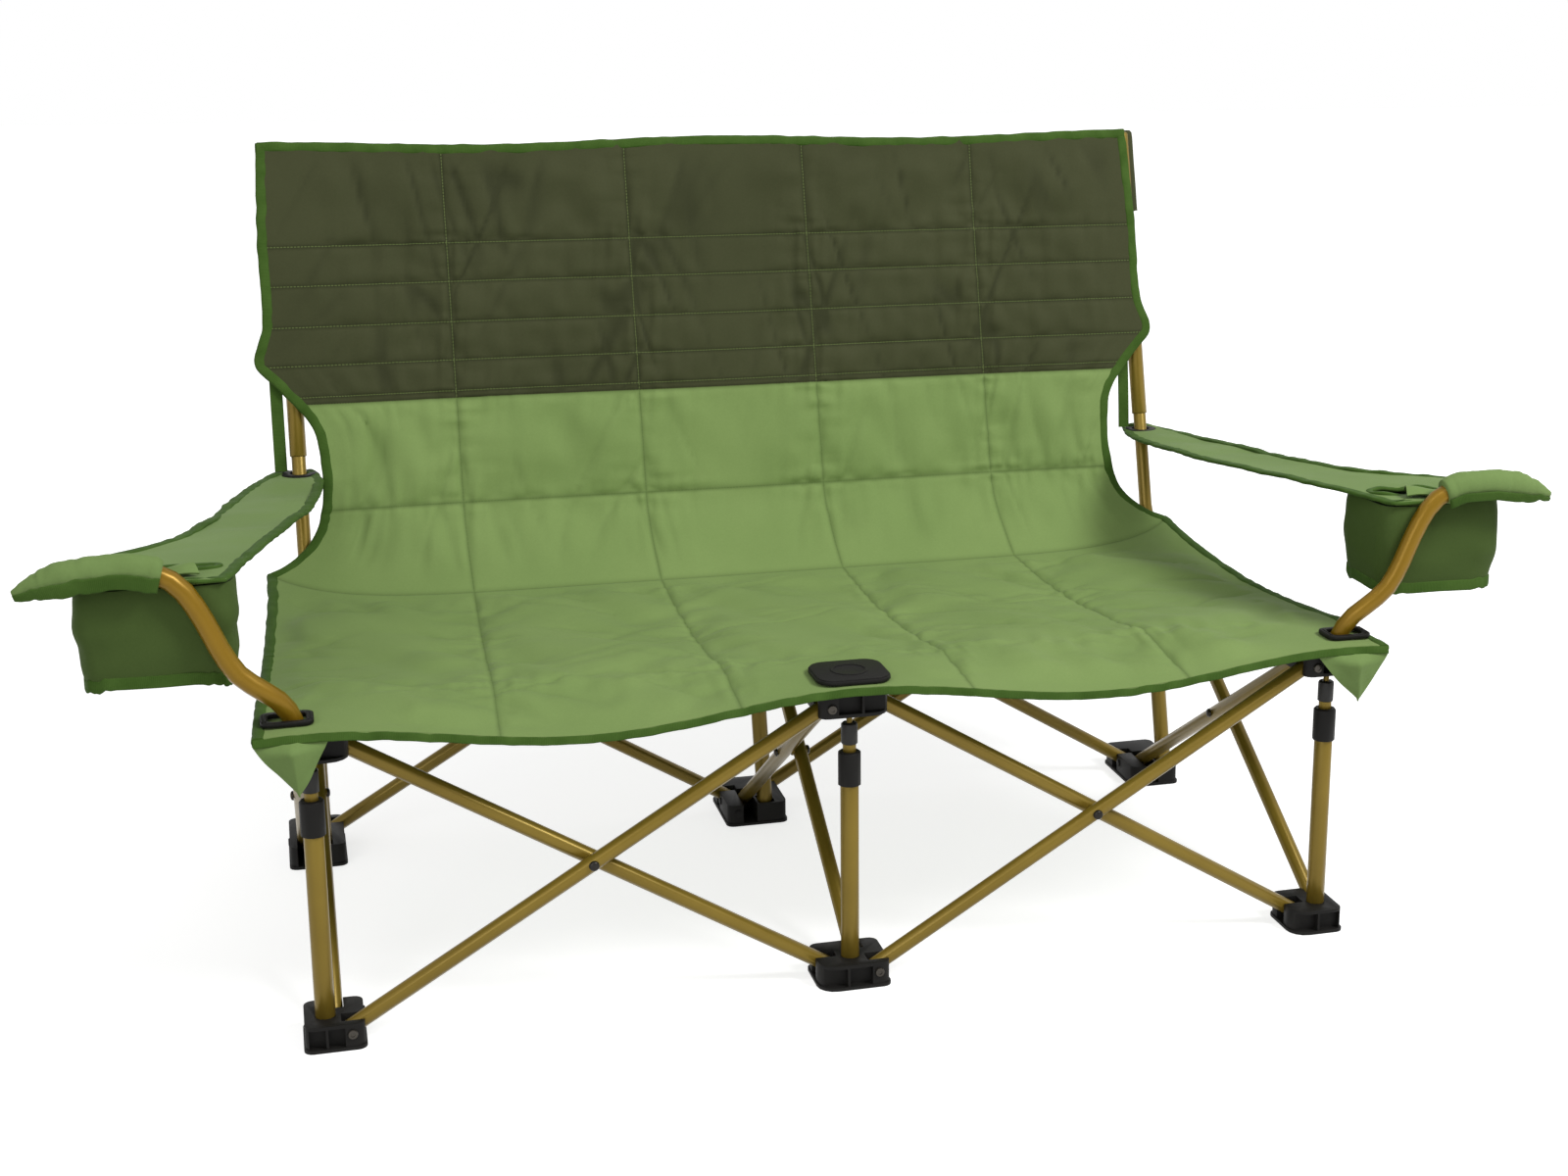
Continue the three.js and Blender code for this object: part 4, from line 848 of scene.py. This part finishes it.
FITTING_RADIUS = 44.0
FITTING_FADE = 55
SEAT_CLOTH = {
    "seed": 11,
    "halves": (2.6, 2.2),  # of its thickness in front of its middle layer and behind it
    "creases": (math.radians(14), math.radians(-28)),
    "bound": 3.2,  # half the thickness that its tape goes round
}
BACK_CLOTH = {
    "seed": 31,
    "halves": (1.8, 1.3),
    "creases": (math.radians(62), math.radians(105)),
    "bound": 1.8,
}


def calm_over_fittings(x, y):
    """0 over the seat's plate and grommets and the hubs under them, rising to 1 away from them."""
    calm = 1.0
    for column in COLUMNS.values():
        calm = calm * np.clip((np.hypot(x - column, y) - FITTING_RADIUS) / FITTING_FADE, 0, 1)
    return calm


def calm_over_posts(x):
    """A quarter along the rear posts, rising to 1 away from them."""
    posts = [np.abs(x - column - POST_ASIDE) for column in COLUMNS.values()]
    return np.clip(np.min(posts, axis=0) / 70, 0.25, 1)


def gathered(piece):
    """Gives a piece a mesh of its own."""
    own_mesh(piece)
    return piece


def bind(label, middle, side, body, half_cloth):
    """Tape along one side of a sheet."""
    normals = normals_of(middle)
    edges = {"left": (np.s_[:, 0], np.s_[:, 1]), "right": (np.s_[:, -1], np.s_[:, -2]), "top": (-1, -2)}
    edge, next_in = edges[side]
    inward = middle[next_in] - middle[edge]
    gathered(tape_round(f"{label}_tape_{side}", middle[edge], normals[edge], inward, half_cloth, body))


def front_hem(middle):
    """The tape that hangs from the seat's front edge: a flat band, rippled, its lower edge forward."""
    run = middle[0]
    ripple, fine = rumple(run[:, 0], 0.0, 60.0, 5), rumple(run[:, 0], 0.0, 21.0, 6)
    up = unit(np.stack([0 * ripple, 0.3 + 0.12 * ripple, 1 + 0 * ripple], -1))
    side = unit(np.cross(up, (1.0, 0.0, 0.0))) * -1
    centre = run + np.stack([0 * ripple, -1.2 - 0.5 * fine, 2.2 + 0.5 * fine - HEM_HEIGHT / 2], -1)
    profile = rounded_profile(HEM_THICKNESS, HEM_HEIGHT, 16, 4.0)
    gathered(tape("seat_front_hem", centre, side, up, profile, "seat_front_half"))


def corner_pocket(side, sign):
    """The pocket that hangs at a front corner of the seat: a triangle with a ridge down its middle,
    where two panels meet, so that one faces a little left and the other a little right."""
    corner = seat_middle(np.array(float(sign)), np.array(SEAT_FRONT))
    reach = FLAP_REACH[sign]
    left, right = sorted((corner[0] - sign * reach, corner[0] + sign * 1.0))
    across, down = np.meshgrid(np.linspace(0, 1, 25), np.linspace(1, 0, 21))
    x = lerp(lerp(left, right, across), lerp(left, right, 0.58), down**1.05)
    ridge = 1 - np.abs(across - 0.5) / 0.5
    belly = 15.0 * ridge**1.1 * (1 - down) ** 0.8 * np.clip(down * 5 + 0.25, 0, 1)
    z = corner[2] - 4.0 - (FLAP_DROP - 6.0) * down + 1.2 * rumple(across * 40, down * 40, 30.0, 81 + sign)
    y = SEAT_FRONT + 0.6 - belly - 2.5 * down
    y = y + 0.8 * rumple(across * 66, down * 56, 26.0, 83 + sign) * (1 - down)
    piece = plain_cloth(f"{side}_corner_pocket", np.stack([x, y, z], -1), 0.8, pairs(x, z))
    worn(piece, "seat_front_half")
    gathered(piece)


def make_seat():
    puff = puffed(SEAT_HALF_WIDTHS[0], 1.0, CELL_COLUMNS, SEAT_ROWS, SEAT_CLOTH["seed"])
    across = seam_lines(CELL_COLUMNS, QUILT_SPACING, SEAT_HALF_WIDTHS[0])
    for label, rows in (
        ("seat_front", (SEAT_FRONT, SEAT_CREASE, FOLD_LINE)),
        ("seat_rear", (FOLD_LINE, JUNCTION)),
    ):
        a, v = np.meshgrid(across, seam_lines(rows, QUILT_SPACING, 1.0))
        seam_y, _ = junction_at(a)
        spread = SEAT_CREASE + (v - SEAT_CREASE) * (seam_y - SEAT_CREASE) / (JUNCTION - SEAT_CREASE)
        middle = seat_middle(a, lerp(v, spread, np.clip((v - FOLD_LINE) / (JUNCTION - FOLD_LINE), 0, 1)))
        calm = calm_over_fittings(middle[..., 0], middle[..., 1])
        middle = quilt(
            label, label, middle, a, v, (SEAT_HALF_WIDTHS[0], 1.0), SEAT_ROWS, (JUNCTION,), puff,
            f"{label}_half", SEAT_CLOTH, calm, SIDES,
        )
        if label == "seat_front":
            front_hem(middle)
    for side, sign in SIDES.items():
        corner_pocket(side, sign)


def make_back():
    height = BACK_TOP - SEAT_MIDDLE + REAR_DROP
    puff = puffed(BACK_WIDEST, height, CELL_COLUMNS, BACK_ROWS, BACK_CLOTH["seed"])
    across = seam_lines(CELL_COLUMNS, QUILT_SPACING, BACK_WIDEST)
    split = BACK_ROWS.index(DARK_PANEL_FROM) + 1
    lower, upper = BACK_ROWS[:split], (DARK_PANEL_FROM, DARK_BORDER_LINE, *BACK_ROWS[split:])
    for label, seams, sides in (("back_lower", lower, SIDES), ("back_upper", upper, (*SIDES, "top"))):
        a, v = np.meshgrid(across, seam_lines(seams, QUILT_SPACING, height))
        middle = back_middle(a, v)
        quilt(
            label, "back", middle, a, v, (BACK_WIDEST, height), BACK_ROWS, seams, puff,
            "rear_centre_post", BACK_CLOTH, calm_over_posts(middle[..., 0]), sides,
        )


make_seat()
make_back()

POCKET_ENDS = ((-100, 1.05), (-97, 1.0), (-70, 1.02), (-35, 0.99), (-6, 1.0), (0.5, 0.93), (3, 0.62))


def post_pocket(side, column):
    """The pocket behind the back that a rear post's end is pushed into: a half-round shell along the
    post, closed at its top, with a lip at its mouth."""
    lean = np.array([0.0, math.sin(POST_LEAN), math.cos(POST_LEAN)])
    rear = np.array([0.0, math.cos(POST_LEAN), -math.sin(POST_LEAN)])
    foot = np.array([column + POST_ASIDE, *POST_PIVOT])
    turn = np.linspace(0, math.pi, 17)
    arch = np.stack([np.cos(turn) * 13.5, np.sin(turn) ** 0.8 * 12.6], -1)
    arch = np.concatenate([[(16.0, -0.2)], arch, [(-16.0, -0.2)], [(-13.0, -1.2)], [(13.0, -1.2)]])
    ends, swells = np.array(POCKET_ENDS).T
    heights = (POST_TOP - POST_PIVOT[1]) / math.cos(POST_LEAN) + ends
    path = foot + lean * heights[:, None]
    scale = np.stack([0.5 + swells / 2, swells], -1)
    outline = arch[None] * scale[:, None]
    points = path[:, None] + outline[..., :1] * np.array([1.0, 0.0, 0.0]) + outline[..., 1:] * rear
    uv = pairs(arch[None, :, 0], heights[:, None])
    worn(closed_skin(f"{side}_post_pocket", points, DARK_PLAIN, uv), f"rear_{side}_post")


for side in ("left", "right", "centre"):
    post_pocket(side, COLUMNS[side])


# Armrests
def armrest_grid(sign, across, along):
    """The strip from the sleeve to the post's ring, in columns from its inner to its outer edge."""
    table = np.array(ARMREST_WIDTHS)
    inner, outer, fall = smooth_through(table[:, 0], table[:, 1:], along).T
    x = PITCH + ARMREST_OUTER * lerp(inner[:, None], outer[:, None], across[None, :])
    y = lerp(ARMREST_FRONT, ARMREST_REAR, along)[:, None] + 0 * x
    z = (ARMREST_HEIGHT - fall * (ARMREST_HEIGHT - RING_HEIGHT))[:, None] + 0 * x
    return np.stack([sign * x + POST_ASIDE * along[:, None] ** 2, y, z], -1)


def folds_with_arm(piece):
    """Gives a piece a mesh of its own."""
    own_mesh(piece)


def pouch_outline(sign, shrink):
    """The pouch's outline seen from above, shrunk by a rim: a superellipse."""
    width, depth = POUCH_X[1] - POUCH_X[0], POUCH_Y[1] - POUCH_Y[0]
    shape = rounded_profile(width - 2 * shrink, depth - 2 * shrink, POUCH_POINTS, 6.0)
    return shape + (sign * sum(POUCH_X) / 2, sum(POUCH_Y) / 2)


def mouth_outline(sign, spread=0.0):
    """The pouch's mouth in the armrest, a slack slot."""
    width, depth = MOUTH_SIZE[sign]
    shape = rounded_profile(width + 2 * spread, depth + 2 * spread, 48, 3.0)
    slant = np.c_[0 * shape[:, 0], -0.12 * sign * shape[:, 0]]
    return shape + slant + (sign * MOUTH_MIDDLE[0], MOUTH_MIDDLE[1])


def upward(path):
    return np.tile((0.0, 0.0, 1.0), (len(path), 1))


def make_armrest(side, sign):
    body = f"front_{side}_hub"
    along = np.linspace(0, 1, 161)
    across = np.linspace(0, 1, 33)[::sign]
    middle = armrest_grid(sign, across, along)
    puff = np.sin(math.pi * np.clip(across, 0, 1))[None, :] ** 0.5 * np.ones((len(along), 1))
    arch = np.sin(math.pi * along)[:, None]
    x, y = middle[..., 0], middle[..., 1]
    wave = rumple(x, y, 140.0, 51 + sign) * 1.8 + rumple(x, y, 60.0, 55 + sign) * 0.5
    near_mouth = np.clip((y - POUCH_Y[1] - 10) / 60, 0.25, 1)
    middle[..., 2] += wave * puff * near_mouth - 3.0 * puff * arch
    middle[..., 2] += rumple(y, 0.0, 110.0, 57 + sign) * (1 - puff) * arch
    strip = plain_cloth(f"{side}_armrest_strip", middle, lerp(1.2, ARMREST_HALF, puff), middle[..., :2])
    cut_strip(strip, side, sign)
    middle = middle[:, ::sign]
    front = len(across) // 2
    rim = np.concatenate([middle[0, front:0:-1], middle[:, 0], middle[-1, 1:-1], middle[::-1, -1]])
    heart = middle[:, front]
    ends = [np.tile(heart[k], (count, 1)) for k, count in ((12, front), (-12, len(across) - 2))]
    inward = np.concatenate([ends[0], heart, ends[1], heart[::-1]]) - rim
    soft = (strip, sleeve(side, sign))
    edge = tape_round(f"{side}_armrest_tape", rim, upward(rim), inward, 1.2, body)
    outline = mouth_outline(sign, -1.0)
    level = np.interp(outline[:, 1], middle[:, 0, 1], heart[:, 2])
    lip = np.c_[outline, level + 1.5 + 1.6 * rumple(outline[:, 0], outline[:, 1], 46.0, 61 + sign)]
    outside = lip - lip.mean(0)
    lip_tape = tape_round(
        f"{side}_pouch_mouth_tape", lip, upward(lip), outside, 1.2, body, closed=True, width=7.0
    )
    fold = corner_fold(side, sign)
    for piece in (*soft, fold):
        worn(piece, body)
    for piece in (strip, edge, lip_tape, fold):  # the sleeve stays round over the arm tube
        folds_with_arm(piece)
    for piece in soft:
        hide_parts(f"{side}_armrest")


def corner_fold(side, sign):
    """The loose end of the sleeve's tape, turned back over the strip at its inner corner: a narrow
    sheet that rises, tips over and falls again."""
    across, along = np.meshgrid(np.linspace(0, 1, 13), np.linspace(0, 1, 29))
    x = ARM_BASE + ARM_REACH * 0.34 - 2.0 + 46.0 * along + 10.0 * across
    y = 4.0 + 26.0 * across - 10.0 * along
    hump = np.sin(math.pi * across)
    z = ARMREST_HEIGHT + 5.0 + 6.0 * hump * (1 - 0.5 * along) + 1.5 * np.sin(5 * along + 2 * across)
    middle = np.stack([sign * x, y, z], -1)[:, ::sign]
    return plain_cloth(f"{side}_armrest_fold", middle, 0.8, middle[..., :2])


def cut_strip(strip, side, sign):
    """Cuts the ring's hole and the pouch's mouth through the strip."""
    low, high = box_of(f"{side}_armrest_ring")
    centre, radius = (low + high) / 2, (high[0] - low[0]) / 2 + 0.4
    hole = centre[:2] + radius * circle(40)
    for label, outline in (("hole", hole), ("mouth", mouth_outline(sign))):
        rings = [np.c_[outline, np.full(len(outline), level)] for level in CUTTER_LEVELS]
        cutter = closed_skin(f"{side}_{label}_cutter", np.stack(rings), SAGE_PLAIN, sharp=None)
        cut = strip.modifiers.new(label, "BOOLEAN")
        cut.object = cutter
        cut.operation = "DIFFERENCE"
        cut.solver = "EXACT"
        apply_modifiers(strip)
        bpy.data.objects.remove(cutter)


def sleeve(side, sign):
    """The padded sleeve over the arm tube's end: a round back and top, a front face that falls to a
    thin hanging edge, and a flattened tip. Its section is carried along the tube."""
    shares = np.array(ARM_PATH)
    at = np.linspace(0, len(shares) - 1, SLEEVE_RINGS)
    over, rise = smooth_through(np.arange(len(shares)), shares, at).T
    x, z = sign * (ARM_BASE + ARM_REACH * over), ARM_FOOT + ARM_RISE * rise
    path = np.stack([x, 0 * over - ARM_FORWARD, z], -1)
    out = np.tile((0.0, -1.0, 0.0), (len(path), 1))
    up = unit(np.cross(unit(np.gradient(path, axis=0)), out))
    up = up * np.sign(up[:, 2:])
    turn = np.linspace(math.pi * 1.12, 0, 20)
    drop = SKIRT_DROPS[sign]
    front = [(11.6, -5.0), (10.4, -drop * 0.6), (9.4, -drop), (7.2, -drop), (5.0, -drop * 0.7)]
    section = np.concatenate(
        [
            np.stack([np.cos(turn) * SLEEVE_RADIUS, np.sin(turn) * (SLEEVE_RADIUS + 2.5) + 1.0], -1),
            np.array([*front, (-1.0, -13.0), (-8.0, -9.6)]),
        ]
    )
    part = np.linspace(0, 1, len(path))
    tip = np.clip((1 - part) / 0.42, 0, 1) ** 0.8
    thick = lerp(0.22, 1.0, tip) * lerp(0.86, 1.0, np.clip(part / 0.06, 0, 1) ** 0.5)
    run = np.linspace(0, SLEEVE_LENGTH, len(path))
    down, around = run[:, None], np.arange(len(section))[None, :] * 3.5
    wave = 1 + 0.03 * rumple(down, around, 42.0, 71 + sign)
    wave = wave + 0.02 * rumple(down, around * 0.3, 17.0, 75 + sign)
    points = out[:, None] * section[None, :, :1] + up[:, None] * section[None, :, 1:]
    points = path[:, None] + points * (thick[:, None] * wave)[..., None]
    piece = closed_skin(f"{side}_armrest_sleeve", points, SAGE_PLAIN, pairs(around, down), 75)
    high, low = SKIRT_BANDS[sign]
    shrink = lerp(0.42, 1.0, tip)
    ripple = 0.7 * rumple(run, 0.0, 34.0, 77 + sign)
    hem_path = path + out * (12.6 * thick)[:, None] + up * ((high + low) / 2 * shrink + ripple)[:, None]
    lean = unit(up + out * 0.12) * shrink[:, None]
    band = rounded_profile(2.6, high - low, 16, 4.0)
    tape(f"{side}_sleeve_hem", hem_path, out, lean, band, f"front_{side}_hub")
    return piece


def make_pouch(side, sign):
    """The cup pouch: rings of a rounded outline from its rim down to its floor and up again inside,
    bulged half-way, drawn in at the bottom, with slack folds in its sides."""
    heights, shrinks = np.array(POUCH_SIDE).T
    knots, at = np.linspace(0, 1, len(heights)), np.linspace(0, 1, 22)
    rings = [*zip(np.interp(at, knots, heights), smooth_through(knots, shrinks, at)), *POUCH_INSIDE]
    layers = []
    for height, shrink in rings:
        outline = pouch_outline(sign, shrink)
        way = unit(outline - outline.mean(0))
        run = np.arctan2(way[:, 1], way[:, 0]) * 60
        level = lerp(POUCH_FLOOR, POUCH_TOP, height)
        slack = 2.6 * rumple(run, level, 60.0, 91 + sign)
        slack = slack + 0.8 * rumple(run * 1.6, level * 0.5, 30.0, 93)
        fall = 3.0 * rumple(run, 0.0, 150.0, 95 + sign) * (1 - height)
        bulged = outline + way * (slack * math.sin(math.pi * min(height * 1.2, 1)) * 0.8)[:, None]
        layers.append(np.c_[bulged, level + fall])
    points = np.stack(layers)
    around = np.arange(POUCH_POINTS) * POUCH_PITCH
    body = f"front_{side}_hub"
    uv = pairs(around[None, :], points[..., 2])
    piece = worn(closed_skin(f"{side}_pouch", points, POUCH, uv, 80), body)
    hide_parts(f"{side}_cup_pouch")
    folds_with_arm(piece)
    hem = points[20]
    way = unit((hem - hem.mean(0)) * (1, 1, 0))
    ripple = rumple(around, 0.0, 28.0, 97 + sign)
    path = hem + way * 1.2 + np.c_[way[:, :2] * 0.8 * ripple[:, None], 2.0 * ripple - 1.0]
    band = rounded_profile(2.4, 12.0, 16, 4.0)
    folds_with_arm(tape(f"{side}_pouch_hem", path, way, upward(path), band, body, closed=True))


def back_strap(side, sign):
    """Webbing from the armrest's rear end up behind the post and on to the panel's rear face: a flat
    band carried along a smooth line."""
    behind = LAYER_LEAD - (LAYER_HALF + LAYER_GAP) / math.cos(POST_LEAN)
    low = [(slope_at(z) + gap, z) for z, gap in ((436.5, 6.8), (470.0, 1.0), (510.0, -5.0))]
    lap = [(slope_at(z) - behind + 1.1, z) for z in (545.0, 560.0, 574.0)]
    knots = np.array([(sign * PITCH + POST_ASIDE - 20.0, y, z) for y, z in low + lap])
    path = smooth_through(np.arange(len(knots)), knots, np.linspace(0, len(knots) - 1, 40))
    aside = np.tile((1.0, 0.0, 0.0), (len(path), 1))
    out = unit(np.cross(unit(np.gradient(path, axis=0)), aside))
    band = rounded_profile(14.0, 1.7, 16, 5.0)
    piece = tape(f"{side}_back_webbing", path, aside, out, band, f"rear_{side}_post")
    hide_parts(f"{side}_back_strap")
    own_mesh(piece)


for side, sign in SIDES.items():
    make_armrest(side, sign)
    make_pouch(side, sign)
    back_strap(side, sign)


# Small hard parts
RIVET_HEAD = ((5.2, 0.0), (5.2, 0.5), (4.9, 1.6), (4.0, 2.6), (2.4, 3.2), (0.4, 3.4))
SCREW_HEAD = ((4.9, 0.0), (4.9, 1.2), (4.3, 2.2), (2.2, 2.5), (2.2, 1.75), (0.3, 1.75))
BLOCK_FACE = -27.0
BAR_REACH = 17.0
CROSSING = (PITCH / 2, 157.2)
PIN_ASIDE = 24.0
FOOT_PIN_HEIGHT = 16.0
HUB_PIN_HEIGHT = 298.4


def rivets():
    """Dark domed heads on both sides of each scissor's crossing."""
    middle, height = CROSSING
    ends = (-1, 1)
    for bay, centre in (("left", -middle), ("right", middle)):
        for row, bar, y in (("front", "rising", 0.0), ("rear", "falling", PITCH)):
            spots = [(centre, y + end * BAR_REACH, height) for end in ends]
            ways = [(0, end, 0) for end in ends]
            buttons(f"{row}_{bay}_rivet", spots, ways, RIVET_HEAD, DARK_STEEL, f"{row}_{bay}_{bar}_bar")
    for side, column in COLUMNS.items():
        spots = [(column + end * BAR_REACH, middle, height) for end in ends]
        ways = [(end, 0, 0) for end in ends]
        buttons(f"{side}_side_rivet", spots, ways, RIVET_HEAD, DARK_STEEL, f"{side}_side_rising_bar")


def screws():
    """Socket-headed screws on the front faces of the blocks that a rising bar starts or ends in."""
    for block, column, aside, height in (
        ("front_left_foot", -PITCH, PIN_ASIDE, FOOT_PIN_HEIGHT),
        ("front_centre_foot", 0.0, PIN_ASIDE, FOOT_PIN_HEIGHT),
        ("front_centre_hub", 0.0, -PIN_ASIDE, HUB_PIN_HEIGHT),
        ("front_right_hub", PITCH, -PIN_ASIDE, HUB_PIN_HEIGHT),
    ):
        spot = (column + aside, BLOCK_FACE, height)
        buttons(f"{block}_screw", [spot], [(0, -1, 0)], SCREW_HEAD, SCREW_STEEL, block)


def grommet_ribs(side):
    """Raised ribs across both ends of a corner grommet, one piece of rounded bars."""
    low, high = box_of(f"{side}_seat_grommet")
    bar = rounded_profile(1.5, 1.3, 10, 3.0)
    section = np.stack([bar[:, 0], 0 * bar[:, 0], bar[:, 1]], -1)
    run = np.linspace(low[1] + 7.0, high[1] - 7.0, 8)
    points, faces = [], []
    places = [end + step for end in (low[0] + 3.3, high[0] - 3.3) for step in (-1.6, 1.6)]
    for number, x in enumerate(places):
        path = np.stack([np.full(8, x), run, np.full(8, high[2])], -1)
        points.append((path[:, None] + section[None]).reshape(-1, 3))
        faces += skin_faces(8, 10, number * 80)
    points = np.concatenate(points)
    piece = mesh_piece(f"{side}_grommet_ribs", points, faces, BLACK, sharp=60, closed=True)
    worn(piece, f"front_{side}_hub")


rivets()
screws()
for side in SIDES:
    grommet_ribs(side)


# Studio
def make_camera():
    data = bpy.data.cameras.new("photo_camera")
    data.sensor_width = 36.0
    data.lens = CAMERA_LENS
    data.shift_x, data.shift_y = CAMERA_SHIFT
    data.clip_end = 50
    camera = linked("photo_camera", data)
    camera.location = place(CAMERA_PLACE)
    camera.rotation_euler = [math.radians(angle) for angle in CAMERA_TURN]
    bpy.context.scene.camera = camera


def add_light(name, spot, target, size, power):
    """A rectangular light whose -Z looks from its spot at a target, with Y as near up as it can be."""
    data = bpy.data.lights.new(name, "AREA")
    data.shape = "RECTANGLE"
    data.size, data.size_y = size
    data.energy = power
    light = linked(name, data)
    way = np.array(target, float) - np.array(spot, float)
    back = -way / np.linalg.norm(way)
    right = unit(np.cross((0.0, 0.0, 1.0), back))
    light.location = spot
    light.rotation_euler = Matrix(np.stack([right, np.cross(back, right), back]).T.tolist()).to_euler()


def make_world():
    """An even pale room that lights the object, and shows white to the camera and in gloss."""
    world = bpy.data.worlds.new("studio")
    bpy.context.scene.world = world
    room = Tree(world, "ShaderNodeOutputWorld")
    lit, seen = (
        room.node("ShaderNodeBackground", inputs={"Color": WHITE, "Strength": strength})
        for strength in (WORLD_LIGHT, 1.0)
    )
    both = room.node("ShaderNodeMixShader", inputs={0: room.white_rays(), 1: lit, 2: seen})
    room.feed(room.surface, both)


FLOOR_REACH = 14.0
FLOOR_DEPTH = 0.0002


def make_floor():
    """A pale floor that keeps the object's shadow, and turns to plain white away from it."""
    finish = Finish("pale_floor", Roughness=0.9, Specular_IOR_Level=0.05, Emission_Strength=1.0)
    finish.colour((0.6, 0.6, 0.6, 1.0))
    x, y, _ = finish.parts(finish.place())
    away = (x * x * 0.6 + y * y).math("SQRT")
    fade = ((away - 0.75) / 1.3).clamp()
    glow = (finish.white_rays() * (fade * 0.25 + 0.75)).clamp()
    finish.set("Emission Color", finish.blend(glow, (0, 0, 0, 1), WHITE))
    floor = bpy.data.meshes.new("floor")
    corners = [(-1, -1), (1, -1), (1, 1), (-1, 1)]
    points = [(i * FLOOR_REACH, j * FLOOR_REACH, -FLOOR_DEPTH) for i, j in corners]
    floor.from_pydata(points, [], [(0, 1, 2, 3)])
    floor.materials.append(finish.material)
    linked("floor", floor)


def make_studio():
    make_world()
    make_floor()
    add_light("key", (2.3, -2.1, 3.4), (0, 0, 0.4), (1.3, 1.3), 128)
    add_light("fill", (-2.8, -3.2, 2.0), (0, 0, 0.4), (2.2, 2.0), 38)
    add_light("strip", (-0.6, -1.4, 3.6), (0, 0.1, 0.4), (2.4, 0.25), 16)
    bpy.context.scene.view_settings.view_transform = "Standard"


make_camera()
make_studio()
